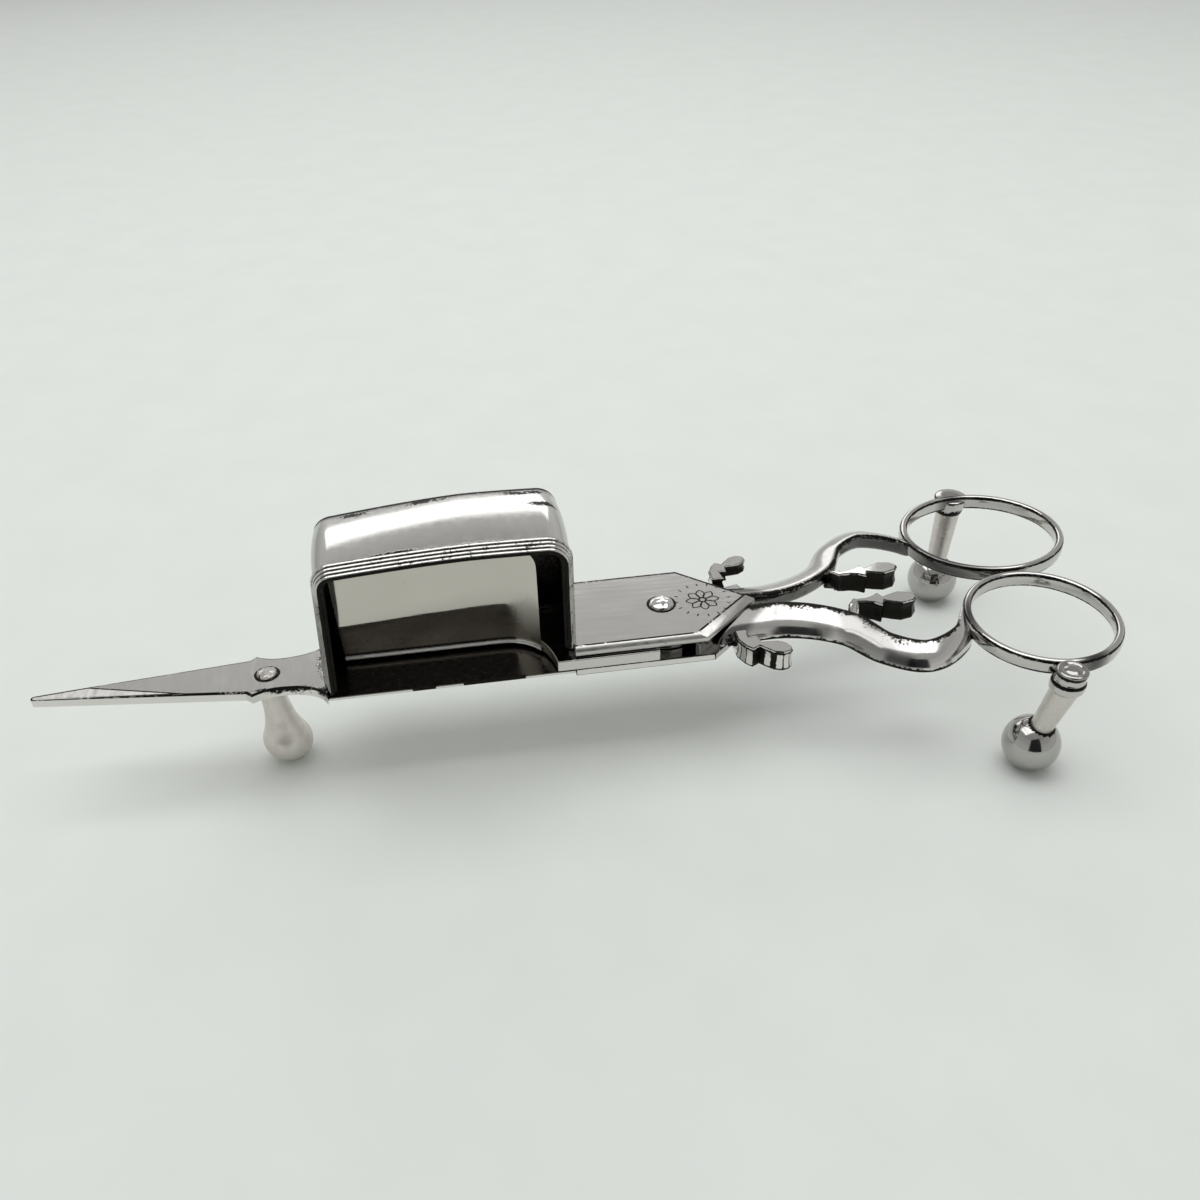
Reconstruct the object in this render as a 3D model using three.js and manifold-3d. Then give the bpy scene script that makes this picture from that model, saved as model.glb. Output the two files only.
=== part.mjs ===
// Candle snuffer scissors: a polished box arm and press arm on a common pivot,
// standing on three feet. Millimetres, +Z up. The pointed tip lies towards -X, the
// finger rings towards +X, and the box opens towards -Y.

import * as THREE from 'three';
import { mergeVertices } from 'three/addons/utils/BufferGeometryUtils.js';
import Module from 'manifold-3d';

const wasm = await Module();
wasm.setup();

// Heights and thicknesses
const ARM_TOP = 21.3;
const PLATE_RISE = 1.0;
const UPPER_PLATE = 1.8;
const TONGUE = 2.0;
const LOWER_PLATE = 1.3;
const FLOOR = 1.0;
const BLADE = 1.6;
const HANDLE_HEIGHT = 4.2;
const HANDLE_END_HEIGHT = 3.4;
const RING_HEIGHT = 2.8;
const RING_RISE = 0.3;
const LEAF_HEIGHT = 3.8;

// Clearances
const FORK_CLEARANCE = 0.2;
const RIVET_CLEARANCE = 0.1;
const SOLDER_GAP = 0.3;
const SWING_GAP = 0.4;

// Fork plates around the pivot
const FORK_HALF = 10.0;
const FORK_SHOULDER = 4.6;
const FORK_POINT = 15.8;
const FORK_END_WALL = 1.0;
const PIVOT_PIN_RADIUS = 1.5;
const RIVET_HEAD_RADIUS = 2.0;
const RIVET_HEAD_RISE = 0.8;
const BURR_RADIUS = 2.6;
const BURR_HEIGHT = 0.9;

// Box
const BOX_REACH = 16.3;
const BOX_LENGTH = 39.6;
const BOX_FRONT = 9.8;
const BOX_BACK = 9.5;
const BOX_HEIGHT = 25.2;
const BOX_CORNER = 4.5;
const BOX_WALL = 0.8;
const BACK_PANEL = 0.9;
const RIM_WIDTH = 2.4;
const RIM_PROUD = 0.5;
const RIM_REEDS = 3;

// Press arm inside the fork and the box
const PRESS_FRONT = 0.6;
const PRESS_PLATE = 1.1;
const PRESS_HEIGHT = 18.0;
const PRESS_CORNER = 4.0;
const PRESS_END_GAP = 1.2;
const PRESS_RIGHT_GAP = 4.3;
const PRESS_BAR_BACK = 1.7;
const ELBOW_LENGTH = 8.7;
const ELBOW_EASE = 1.2;
const TONGUE_LEDGE = 2.2;
const TONGUE_FRONT = 10.3;
const TONGUE_BACK = 9.6;
const TONGUE_SET_IN = 1.6;
const TONGUE_SHOULDER = 2.2;
const TONGUE_DISC = 7.5;
const TONGUE_END = 6.4;

// Tip blade and its foot
const TIP_LENGTH = 47.9;
const TIP_AXIS = -2.2;
const TIP_SHOULDER = 14.0;
const TIP_HALF = 4.4;
const TIP_STEP = 1.0;
const TIP_WAIST = 4.2;
const TIP_FLARE = 8.2;
const TIP_NOSE = 0.3;
const TIP_BEVEL_LENGTH = 8.5;
const TIP_BEVEL_SLOPE = 10.0;
const TIP_FOOT_REACH = 10.9;
const TIP_FOOT_LEAN = 1.35;
const TIP_NECK_RADIUS = 2.25;
const TIP_NECK_LENGTH = 5.0;
const TIP_BALL_RADIUS = 4.4;
const TIP_BALL_ANGLE = 42;
const TIP_PIN_RADIUS = 1.1;
const TIP_HEAD_RADIUS = 1.9;
const TIP_HEAD_RISE = 0.5;

// Scroll handles: half widths and places of the bends, for the back handle
const ROOT_X = 5.0;
const ROOT_Y = 5.3;
const ROOT_HALF = 2.7;
const WAIST_X = 21.0;
const WAIST_Y = 4.3;
const WAIST_HALF = 3.1;
const RISE_X = 30.4;
const RISE_Y = 8.7;
const RISE_HALF = 2.8;
const BOW_X = 35.0;
const BOW_Y = 15.3;
const BOW_HALF = 2.4;
const CREST_X = 41.0;
const CREST_Y = 18.6;
const CREST_HALF = 2.4;
const NECK_X = 48.2;
const NECK_Y = 15.0;
const NECK_HALF = 1.7;
const RING_JOIN_ANGLE = 200;
const RING_JOIN_HALF = 1.1;

// Leaf terminals on the handles
const BUD_X = 31.0;
const BUD_Y = 4.9;
const BUD_LENGTH = 13.2;
const BUD_HALF = 2.8;
const BUD_ANGLE = -2;
const BUD_STEM = 1.0;
const BUD_RISE = 0.5;
const CURL_X = 10.6;
const CURL_Y = 8.9;
const CURL_LENGTH = 10.2;
const CURL_HALF = 2.1;
const CURL_ANGLE = 36;
const CURL_STEM = 0.2;
const CURL_RISE = -0.4;
const LEAF_BEVEL = 0.6;

// Finger rings and their feet
const RING_BORE_RADIUS = 11.95;
const RING_BAND = 1.5;
const RING_REACH = 63.3;
const RING_GAP = 0.4;
const FRONT_RING_RATIO = 0.97;
const BACK_RING_RATIO = 1.083;
const FRONT_BOSS_ANGLE = 100;
const BACK_BOSS_ANGLE = 93.4;
const FRONT_BOSS_OFFSET = 1.7;
const BACK_BOSS_OFFSET = 0.5;
const BOSS_RADIUS = 2.8;
const BOSS_EDGE = 0.5;
const BOSS_HEIGHT = 4.2;
const BOSS_RISE = 0.5;
const PEG_TOP_RADIUS = 2.3;
const PEG_END_RADIUS = 1.9;
const PEG_SINK = 1.2;
const BALL_RADIUS = 5.1;
const FRONT_LEAN_X = -2.2;
const BACK_LEAN_X = -3.0;
const FRONT_LEAN_Y = -2.3;
const BACK_LEAN_Y = -3.9;
const FOOT_FLAT = 0.25;

// Facets
const RIVET_SEGMENTS = 24;
const TURNED_SEGMENTS = 24;
const RING_SEGMENTS = 48;
const CORNER_SEGMENTS = 8;
const CURVE_SEGMENTS = 8;
const LEAF_SEGMENTS = 4;
const HANDLE_STEPS = 30;
const BALL_STEPS = 12;

// Levels and places worked out from the sizes above
const plateTop = ARM_TOP + PLATE_RISE;
const plateBottom = plateTop - UPPER_PLATE;
const tongueTop = plateBottom - FORK_CLEARANCE;
const tongueBottom = tongueTop - TONGUE;
const lowerTop = tongueBottom - FORK_CLEARANCE;
const underside = lowerTop - LOWER_PLATE;
const floorTop = underside + FLOOR;
const bladeTop = underside + BLADE;
const boxTop = underside + BOX_HEIGHT;
const boxRight = -BOX_REACH;
const boxLeft = boxRight - BOX_LENGTH;
const rimBack = -BOX_FRONT + RIM_WIDTH;
const ringOuter = RING_BORE_RADIUS + RING_BAND;
const ringY = ringOuter + RING_GAP / 2;
const endNormal = new THREE.Vector2(FORK_HALF, FORK_POINT - FORK_SHOULDER).normalize();
const endDistance = endNormal.x * FORK_POINT;
const tipFootX = boxLeft - TIP_FOOT_REACH;

// The two handles differ a little, as hand work does; side is 1 at the back and -1 at the front
const FRONT = { side: -1, stretch: FRONT_RING_RATIO, bossAngle: FRONT_BOSS_ANGLE,
  bossOffset: FRONT_BOSS_OFFSET, leanX: FRONT_LEAN_X, leanY: FRONT_LEAN_Y };
const BACK = { side: 1, stretch: BACK_RING_RATIO, bossAngle: BACK_BOSS_ANGLE,
  bossOffset: BACK_BOSS_OFFSET, leanX: BACK_LEAN_X, leanY: BACK_LEAN_Y };

const silver = { color: 0xc9c7c3, metalness: 1.0, roughness: 0.12 };
const satinSilver = { color: 0xd4cec4, metalness: 1.0, roughness: 0.38 };

const model = new THREE.Group();
model.name = 'candle_snuffer_scissors';

function addPiece(name, geometry, finish = silver) {
  geometry.computeVertexNormals();
  const mesh = new THREE.Mesh(geometry, new THREE.MeshStandardMaterial(finish));
  mesh.name = name;
  model.add(mesh);
}

// Boolean joins and cuts

function toSolid(geometry) {
  const bare = geometry.clone();
  bare.deleteAttribute('normal');
  bare.deleteAttribute('uv');
  const merged = mergeVertices(bare);
  const corners = merged.index.array;
  const triangles = [];
  for (let i = 0; i < corners.length; i += 3) {
    const [a, b, c] = [corners[i], corners[i + 1], corners[i + 2]];
    if (a !== b && b !== c && c !== a) triangles.push(a, b, c);
  }
  return new wasm.Manifold(new wasm.Mesh({
    numProp: 3,
    vertProperties: new Float32Array(merged.attributes.position.array),
    triVerts: new Uint32Array(triangles),
  }));
}

function toGeometry(solid) {
  const { numProp, vertProperties, triVerts } = solid.getMesh();
  const points = [];
  for (let i = 0; i < vertProperties.length; i += numProp) {
    points.push(vertProperties[i], vertProperties[i + 1], vertProperties[i + 2]);
  }
  const geometry = new THREE.BufferGeometry();
  geometry.setAttribute('position', new THREE.Float32BufferAttribute(points, 3));
  geometry.setIndex(Array.from(triVerts));
  return geometry;
}

function cut(geometry, ...cutters) {
  let solid = toSolid(geometry);
  for (const cutter of cutters) solid = solid.subtract(toSolid(cutter));
  return toGeometry(solid);
}

// Basic forms

function outline(points) {
  return new THREE.Shape(points.map(([x, y]) => new THREE.Vector2(x, y)));
}

function roundHole(x, y, radius) {
  return new THREE.Path().absarc(x, y, radius, 0, 2 * Math.PI);
}

// A flat plate between two heights
function sheet(shape, bottom, top, segments = CURVE_SEGMENTS) {
  const options = { depth: top - bottom, bevelEnabled: false, curveSegments: segments };
  return new THREE.ExtrudeGeometry(shape, options).translate(0, 0, bottom);
}

// A profile in X and Z, carried from the front to the back
function carried(shape, front, back, segments = CORNER_SEGMENTS) {
  const options = { depth: back - front, bevelEnabled: false, curveSegments: segments };
  return new THREE.ExtrudeGeometry(shape, options).rotateX(Math.PI / 2).translate(0, back, 0);
}

// A piece turned about a vertical axis from [radius, height] points, lowest first
function turned(profile, segments = TURNED_SEGMENTS) {
  const points = profile.map(([r, z]) => new THREE.Vector2(r, z));
  return new THREE.LatheGeometry(points, segments).rotateX(Math.PI / 2);
}

// A round arc of a turned profile, angles in degrees above the horizon
function profileArc(radius, centre, from, to, steps) {
  return Array.from({ length: steps + 1 }, (_, i) => {
    const angle = THREE.MathUtils.degToRad(from + (to - from) * i / steps);
    return [radius * Math.cos(angle), centre + radius * Math.sin(angle)];
  });
}

// Angle below the horizon at which a ball is cut flat to stand
function flatAngle(radius) {
  return -THREE.MathUtils.radToDeg(Math.asin(1 - FOOT_FLAT / radius));
}

// Closed body through equal sections, each a list of Vector3
function loft(sections) {
  const count = sections[0].length;
  const last = (sections.length - 1) * count;
  const index = [];
  for (let i = 0; i < sections.length - 1; i++) {
    for (let j = 0; j < count; j++) {
      const a = i * count + j;
      const b = i * count + (j + 1) % count;
      index.push(a, a + count, b + count, a, b + count, b);
    }
  }
  for (let j = 1; j < count - 1; j++) {
    index.push(0, j, j + 1, last, last + j + 1, last + j);
  }
  const geometry = new THREE.BufferGeometry().setFromPoints(sections.flat());
  geometry.setIndex(index);
  return geometry;
}

// Tip blade, with its shoulder notch, waist, flare and ground point

function tipBlade() {
  const tip = boxLeft - TIP_LENGTH;
  const shoulder = boxLeft - TIP_SHOULDER;
  const step = TIP_AXIS + TIP_HALF + TIP_STEP;
  const shape = new THREE.Shape();
  shape.moveTo(tip, TIP_AXIS - TIP_NOSE);
  shape.lineTo(shoulder, TIP_AXIS - TIP_HALF);
  shape.lineTo(shoulder + TIP_STEP, 2 * TIP_AXIS - step);
  shape.quadraticCurveTo(shoulder + 3 * TIP_STEP, TIP_AXIS - TIP_WAIST,
    tipFootX + TIP_HEAD_RADIUS, TIP_AXIS - TIP_WAIST);
  shape.quadraticCurveTo(boxLeft - 2 * TIP_STEP, TIP_AXIS - TIP_WAIST, boxLeft, TIP_AXIS - TIP_FLARE);
  shape.lineTo(boxLeft, TIP_AXIS + TIP_FLARE);
  shape.quadraticCurveTo(boxLeft - 2 * TIP_STEP, TIP_AXIS + TIP_WAIST,
    tipFootX + TIP_HEAD_RADIUS, TIP_AXIS + TIP_WAIST);
  shape.quadraticCurveTo(shoulder + 3 * TIP_STEP, TIP_AXIS + TIP_WAIST, shoulder + TIP_STEP, step);
  shape.lineTo(shoulder, TIP_AXIS + TIP_HALF);
  shape.lineTo(tip, TIP_AXIS + TIP_NOSE);
  shape.holes.push(roundHole(tipFootX, TIP_AXIS, TIP_PIN_RADIUS + RIVET_CLEARANCE));
  return cut(sheet(shape, underside, bladeTop), tipBevel(tip, shoulder));
}

// Wedge that grinds the front of the point down from a line across the top face
function tipBevel(tip, shoulder) {
  const rise = TIP_HALF * TIP_BEVEL_LENGTH / (shoulder - tip);
  const start = new THREE.Vector3(tip + TIP_BEVEL_LENGTH, TIP_AXIS + rise, bladeTop);
  const end = new THREE.Vector3(shoulder, TIP_AXIS - TIP_HALF, bladeTop);
  const heading = Math.atan2(end.y - start.y, end.x - start.x);
  const wedge = new THREE.BoxGeometry(3 * TIP_LENGTH, TIP_LENGTH, TIP_LENGTH);
  wedge.translate(0, -TIP_LENGTH / 2, TIP_LENGTH / 2);
  wedge.rotateX(THREE.MathUtils.degToRad(TIP_BEVEL_SLOPE));
  return wedge.rotateZ(heading).translate(start.x, start.y, start.z);
}

// Leaning shift of a turned piece: x and y move with height between two levels
function leanWith(geometry, leanX, leanY, top, bottom) {
  const drop = top - bottom;
  const shear = new THREE.Matrix4().set(
    1, 0, -leanX / drop, leanX * top / drop,
    0, 1, -leanY / drop, leanY * top / drop,
    0, 0, 1, 0,
    0, 0, 0, 1,
  );
  return geometry.applyMatrix4(shear);
}

function tipFoot() {
  const neckEnd = underside - TIP_NECK_LENGTH;
  const centre = TIP_BALL_RADIUS - FOOT_FLAT;
  const from = flatAngle(TIP_BALL_RADIUS);
  const ball = profileArc(TIP_BALL_RADIUS, centre, from, TIP_BALL_ANGLE, BALL_STEPS);
  ball[0][1] = 0;
  const foot = turned([[0, 0], ...ball, [TIP_NECK_RADIUS, neckEnd], [TIP_NECK_RADIUS, underside],
    [0, underside]]);
  leanWith(foot, TIP_FOOT_LEAN, 0, underside, 0);
  return foot.translate(tipFootX, TIP_AXIS, 0);
}

// Rivet with a domed head on one face and its pin end on the other. The dome's points are
// shares of the head's radius and rise.
const RIVET_DOME = [[0.86, 0.6], [0.5, 0.93]];

function rivet(pinRadius, bottom, face, headRadius, headRise) {
  return turned([
    [0, bottom], [pinRadius, bottom], [pinRadius, face], [headRadius, face],
    ...RIVET_DOME.map(([out, up]) => [headRadius * out, face + headRise * up]), [0, face + headRise],
  ], RIVET_SEGMENTS);
}

// Box: floor, bent shell, back panel and reeded rim

function boxFloor() {
  const shape = outline([[boxLeft, -BOX_FRONT], [boxRight, -BOX_FRONT], [boxRight, BOX_BACK],
    [boxLeft, BOX_BACK]]);
  return sheet(shape, underside, floorTop);
}

function boxShell() {
  const inner = BOX_CORNER - BOX_WALL;
  const cornerZ = boxTop - BOX_CORNER;
  const shape = new THREE.Shape();
  shape.moveTo(boxLeft, floorTop);
  shape.lineTo(boxLeft + BOX_WALL, floorTop);
  shape.absarc(boxLeft + BOX_CORNER, cornerZ, inner, Math.PI, Math.PI / 2, true);
  shape.absarc(boxRight - BOX_CORNER, cornerZ, inner, Math.PI / 2, 0, true);
  shape.lineTo(boxRight - BOX_WALL, plateBottom);
  shape.lineTo(boxRight, plateBottom);
  shape.absarc(boxRight - BOX_CORNER, cornerZ, BOX_CORNER, 0, Math.PI / 2);
  shape.absarc(boxLeft + BOX_CORNER, cornerZ, BOX_CORNER, Math.PI / 2, Math.PI);
  return carried(shape, rimBack, BOX_BACK - BACK_PANEL);
}

function boxBackPanel() {
  const cornerZ = boxTop - BOX_CORNER;
  const shape = new THREE.Shape();
  shape.moveTo(boxLeft, floorTop);
  shape.lineTo(boxRight, floorTop);
  shape.absarc(boxRight - BOX_CORNER, cornerZ, BOX_CORNER, 0, Math.PI / 2);
  shape.absarc(boxLeft + BOX_CORNER, cornerZ, BOX_CORNER, Math.PI / 2, Math.PI);
  return carried(shape, BOX_BACK - BACK_PANEL, BOX_BACK);
}

// Path round the mouth of the box: up the left side, over the top, down the right
function rimPath() {
  const stations = [{ x: boxLeft, z: Math.max(floorTop, bladeTop), angle: Math.PI }];
  for (const [x, from] of [[boxLeft + BOX_CORNER, Math.PI], [boxRight - BOX_CORNER, Math.PI / 2]]) {
    for (let i = 0; i <= CORNER_SEGMENTS; i++) {
      const angle = from - (Math.PI / 2) * i / CORNER_SEGMENTS;
      const z = boxTop - BOX_CORNER + BOX_CORNER * Math.sin(angle);
      stations.push({ x: x + BOX_CORNER * Math.cos(angle), z, angle });
    }
  }
  stations.push({ x: boxRight, z: plateTop, angle: 0 });
  return stations;
}

function boxRim() {
  const reed = RIM_WIDTH / RIM_REEDS;
  const profile = [[-BOX_WALL, rimBack], [-BOX_WALL, -BOX_FRONT]];
  for (let i = 0; i < RIM_REEDS; i++) {
    const y = -BOX_FRONT + i * reed;
    profile.push([RIM_PROUD / 2, y], [RIM_PROUD, y + reed / 4], [RIM_PROUD, y + 3 * reed / 4]);
  }
  profile.push([RIM_PROUD / 2, rimBack]);
  return loft(rimPath().map(({ x, z, angle }) => profile.map(([out, y]) =>
    new THREE.Vector3(x + out * Math.cos(angle), y, z + out * Math.sin(angle)))));
}

// Fork: two pointed plates, the wall between their front slanting edges, and the rivet

function forkShape(grow = 0) {
  const slope = grow / endNormal.x;
  const shoulder = FORK_POINT + slope - (FORK_HALF + grow) * endNormal.y / endNormal.x;
  return outline([[boxRight, -FORK_HALF - grow], [shoulder, -FORK_HALF - grow],
    [FORK_POINT + slope, 0], [shoulder, FORK_HALF + grow], [boxRight, FORK_HALF + grow]]);
}

function forkPlate(bottom, top) {
  const shape = forkShape();
  shape.holes.push(roundHole(0, 0, PIVOT_PIN_RADIUS + RIVET_CLEARANCE));
  return sheet(shape, bottom, top);
}

function forkEndWall() {
  const inset = endNormal.clone().multiplyScalar(-FORK_END_WALL);
  const edge = [[FORK_SHOULDER, -FORK_HALF], [FORK_POINT - FORK_END_WALL,
    -FORK_END_WALL * endNormal.x / endNormal.y]];
  const inside = edge.map(([x, y]) => [x + inset.x, y - inset.y]).reverse();
  return sheet(outline([...edge, ...inside]), lowerTop, plateBottom);
}

function pivotBurr() {
  const bore = PIVOT_PIN_RADIUS + RIVET_CLEARANCE;
  const bottom = underside - BURR_HEIGHT;
  const edge = BURR_HEIGHT / 2;
  return turned([[bore, bottom], [BURR_RADIUS - edge, bottom], [BURR_RADIUS, bottom + edge],
    [BURR_RADIUS, underside], [bore, underside], [bore, bottom]], RIVET_SEGMENTS);
}

// Press arm: the flat tongue and cutting bar, and the plate that stands on it

function pressTongue() {
  const left = boxLeft + BOX_WALL + PRESS_END_GAP;
  const corner = boxRight - BOX_WALL - TONGUE_LEDGE;
  const elbow = corner - ELBOW_LENGTH;
  const discAngle = -Math.acos(-TONGUE_SHOULDER / TONGUE_DISC);
  const endAngle = Math.atan2(endNormal.y, endNormal.x) - Math.acos(TONGUE_END / TONGUE_DISC);
  const endX = (TONGUE_END - endNormal.y * TONGUE_BACK) / endNormal.x;
  const shape = new THREE.Shape();
  shape.moveTo(left, -PRESS_FRONT);
  shape.lineTo(elbow, -PRESS_FRONT);
  shape.quadraticCurveTo(corner - ELBOW_EASE, -PRESS_FRONT, corner, -TONGUE_FRONT);
  shape.lineTo(-TONGUE_SHOULDER, -TONGUE_FRONT);
  shape.absarc(0, 0, TONGUE_DISC, discAngle, endAngle);
  shape.lineTo(endX, TONGUE_BACK);
  shape.lineTo(boxRight + TONGUE_SET_IN, TONGUE_BACK);
  shape.quadraticCurveTo(boxRight, PRESS_BAR_BACK, elbow, PRESS_BAR_BACK);
  shape.lineTo(left, PRESS_BAR_BACK);
  shape.holes.push(roundHole(0, 0, PIVOT_PIN_RADIUS + RIVET_CLEARANCE));
  return sheet(shape, tongueBottom, tongueTop);
}

function pressPlate() {
  const left = boxLeft + BOX_WALL + PRESS_END_GAP;
  const right = boxRight - BOX_WALL - PRESS_RIGHT_GAP;
  const cornerZ = tongueTop + PRESS_HEIGHT - PRESS_CORNER;
  const shape = new THREE.Shape();
  shape.moveTo(left, tongueTop);
  shape.lineTo(right, tongueTop);
  shape.absarc(right - PRESS_CORNER, cornerZ, PRESS_CORNER, 0, Math.PI / 2);
  shape.absarc(left + PRESS_CORNER, cornerZ, PRESS_CORNER, Math.PI / 2, Math.PI);
  return carried(shape, -PRESS_FRONT, PRESS_PLATE - PRESS_FRONT);
}

// Scroll handles. The section is in shares of the half width, 1 on the side of the other
// handle, and of the height: a short inner wall, a ridge near it and a round outer slope.

const HANDLE_SECTION = [[-0.72, 0], [0.2, 0], [0.76, 0.2], [1, 0.48], [1, 0.84], [0.66, 0.97],
  [0.3, 1], [-0.28, 0.94], [-0.7, 0.74], [-0.94, 0.42], [-1, 0.14]];

function handleSweep(arm, grow = 0) {
  const join = THREE.MathUtils.degToRad(RING_JOIN_ANGLE);
  const joinRadius = RING_BORE_RADIUS + RING_BAND / 2;
  const joinX = ringX(arm) + arm.stretch * joinRadius * Math.cos(join);
  const joinY = ringY + joinRadius * Math.sin(join);
  const stations = [[ROOT_X, ROOT_Y, ROOT_HALF], [WAIST_X, WAIST_Y, WAIST_HALF],
    [RISE_X, RISE_Y, RISE_HALF], [BOW_X, BOW_Y, BOW_HALF], [CREST_X, CREST_Y, CREST_HALF],
    [NECK_X, NECK_Y, NECK_HALF], [joinX, joinY, RING_JOIN_HALF]];
  const curve = new THREE.CatmullRomCurve3(stations.map(([x, y, half]) =>
    new THREE.Vector3(x, arm.side * y, half)), false, 'centripetal');
  const sections = [];
  for (let i = 0; i <= HANDLE_STEPS; i++) {
    const at = curve.getPoint(i / HANDLE_STEPS);
    const along = curve.getTangent(i / HANDLE_STEPS);
    const across = new THREE.Vector3(along.y, -along.x, 0).normalize();
    const height = THREE.MathUtils.lerp(HANDLE_HEIGHT, HANDLE_END_HEIGHT, i / HANDLE_STEPS) + 2 * grow;
    const bottom = ARM_TOP + grow - height;
    sections.push(HANDLE_SECTION.map(([a, up]) => new THREE.Vector3(at.x, at.y, bottom + height * up)
      .addScaledVector(across, arm.side * a * (at.z + grow))));
  }
  if (arm.side < 0) sections.forEach((section) => section.reverse());
  return loft(sections);
}

// Half space on the pivot's side of a line parallel to a slanting fork edge
function towardsPivot(arm, distance) {
  const size = 2 * RING_REACH;
  const block = new THREE.BoxGeometry(size, size, size);
  block.translate(distance - size / 2, 0, 0);
  return block.rotateZ(arm.side * Math.atan2(endNormal.y, endNormal.x));
}

// A stretched ring keeps its near end where the handle meets it
function ringX(arm) {
  return RING_REACH + (arm.stretch - 1) * ringOuter;
}

function ringTurned(arm, profile) {
  return turned(profile, RING_SEGMENTS).scale(arm.stretch, 1, 1).translate(ringX(arm), arm.side * ringY, 0);
}

function ringCutter(arm) {
  const radius = ringOuter + SOLDER_GAP;
  return ringTurned(arm, [[0, 0], [radius, 0], [radius, 2 * ARM_TOP], [0, 2 * ARM_TOP]]);
}

function frontHandle() {
  return cut(handleSweep(FRONT), towardsPivot(FRONT, endDistance + SOLDER_GAP), ringCutter(FRONT));
}

// The back handle's root runs between the fork plates and clears them as it swings
function backHandle() {
  const swing = Math.hypot(FORK_SHOULDER, FORK_HALF) + SWING_GAP;
  const clear = [forkShape(SWING_GAP), new THREE.Shape().absarc(0, 0, swing, 0, 2 * Math.PI)];
  const above = clear.map((shape) => sheet(shape, tongueTop, 2 * ARM_TOP));
  const below = clear.map((shape) => sheet(shape, 0, tongueBottom));
  return cut(handleSweep(BACK), towardsPivot(BACK, TONGUE_END + SOLDER_GAP), ringCutter(BACK),
    ...above, ...below);
}

// Leaf terminal: a stem, a first lobe with a cusp, a notch and a pointed lobe. Each edge
// curve is a control point and an end point, as shares of the length and the half width.
const LEAF_STEM_SHARE = 0.5;
const BUD = { x: BUD_X, y: BUD_Y, angle: BUD_ANGLE, length: BUD_LENGTH, half: BUD_HALF,
  stem: BUD_STEM, rise: BUD_RISE };
const CURL = { x: CURL_X, y: CURL_Y, angle: CURL_ANGLE, length: CURL_LENGTH, half: CURL_HALF,
  stem: CURL_STEM, rise: CURL_RISE };
const LEAF_EDGE = [[0.3, 0.62, 0.52, 1], [0.56, 0.6, 0.59, 0.58], [0.82, 1.4, 1, 0]];

function leaf(arm, { x, y, angle, length, half, stem, rise }) {
  const shape = new THREE.Shape();
  shape.moveTo(-stem, -LEAF_STEM_SHARE * half);
  for (const [cu, cv, u, v] of LEAF_EDGE) {
    shape.quadraticCurveTo(cu * length, -cv * half, u * length, -v * half);
  }
  for (let i = LEAF_EDGE.length - 1; i >= 0; i--) {
    const [cu, cv] = LEAF_EDGE[i];
    const [u, v] = i ? LEAF_EDGE[i - 1].slice(2) : [-stem / length, LEAF_STEM_SHARE];
    shape.quadraticCurveTo(cu * length, cv * half, u * length, v * half);
  }
  const options = { depth: LEAF_HEIGHT - 2 * LEAF_BEVEL, curveSegments: LEAF_SEGMENTS, bevelSegments: 1,
    bevelThickness: LEAF_BEVEL, bevelSize: LEAF_BEVEL, bevelOffset: -LEAF_BEVEL };
  const body = new THREE.ExtrudeGeometry(shape, options);
  body.translate(0, 0, ARM_TOP + rise - LEAF_HEIGHT + LEAF_BEVEL);
  body.rotateZ(arm.side * THREE.MathUtils.degToRad(angle));
  return cut(body.translate(x, arm.side * y, 0), handleSweep(arm, SOLDER_GAP));
}

function fingerRing(arm) {
  const edge = RING_BAND / 4;
  const top = ARM_TOP + RING_RISE;
  const bottom = top - RING_HEIGHT;
  return ringTurned(arm, [[RING_BORE_RADIUS, bottom + edge], [RING_BORE_RADIUS + edge, bottom],
    [ringOuter - edge, bottom], [ringOuter, bottom + edge], [ringOuter, top - edge],
    [ringOuter - edge, top], [RING_BORE_RADIUS + edge, top], [RING_BORE_RADIUS, top - edge],
    [RING_BORE_RADIUS, bottom + edge]]);
}

// Ring feet: a boss on the rim of the ring, a leaning peg and a ball that stands on the table

const bossTop = ARM_TOP + BOSS_RISE;
const bossBottom = bossTop - BOSS_HEIGHT;
const ballCentre = BALL_RADIUS - FOOT_FLAT;
const pegEnd = ballCentre + BALL_RADIUS - PEG_SINK;

function footPlace(arm) {
  const angle = THREE.MathUtils.degToRad(arm.bossAngle);
  const reach = ringOuter + arm.bossOffset;
  return [ringX(arm) + reach * Math.cos(angle), arm.side * (ringY + reach * Math.sin(angle))];
}

function leaningFoot(arm, profile) {
  const foot = leanWith(turned(profile), arm.leanX, arm.side * arm.leanY, bossBottom, ballCentre);
  return foot.translate(...footPlace(arm), 0);
}

function footBoss(arm) {
  const inner = BOSS_RADIUS - BOSS_EDGE;
  const boss = turned([[0, bossBottom], [inner, bossBottom], [BOSS_RADIUS, bossBottom + BOSS_EDGE],
    [BOSS_RADIUS, bossTop - BOSS_EDGE], [inner, bossTop], [0, bossTop]]);
  return cut(boss.translate(...footPlace(arm), 0), ringCutter(arm));
}

function footPeg(arm) {
  return leaningFoot(arm, [[0, pegEnd], [PEG_END_RADIUS, pegEnd], [PEG_TOP_RADIUS, bossBottom],
    [0, bossBottom]]);
}

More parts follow.
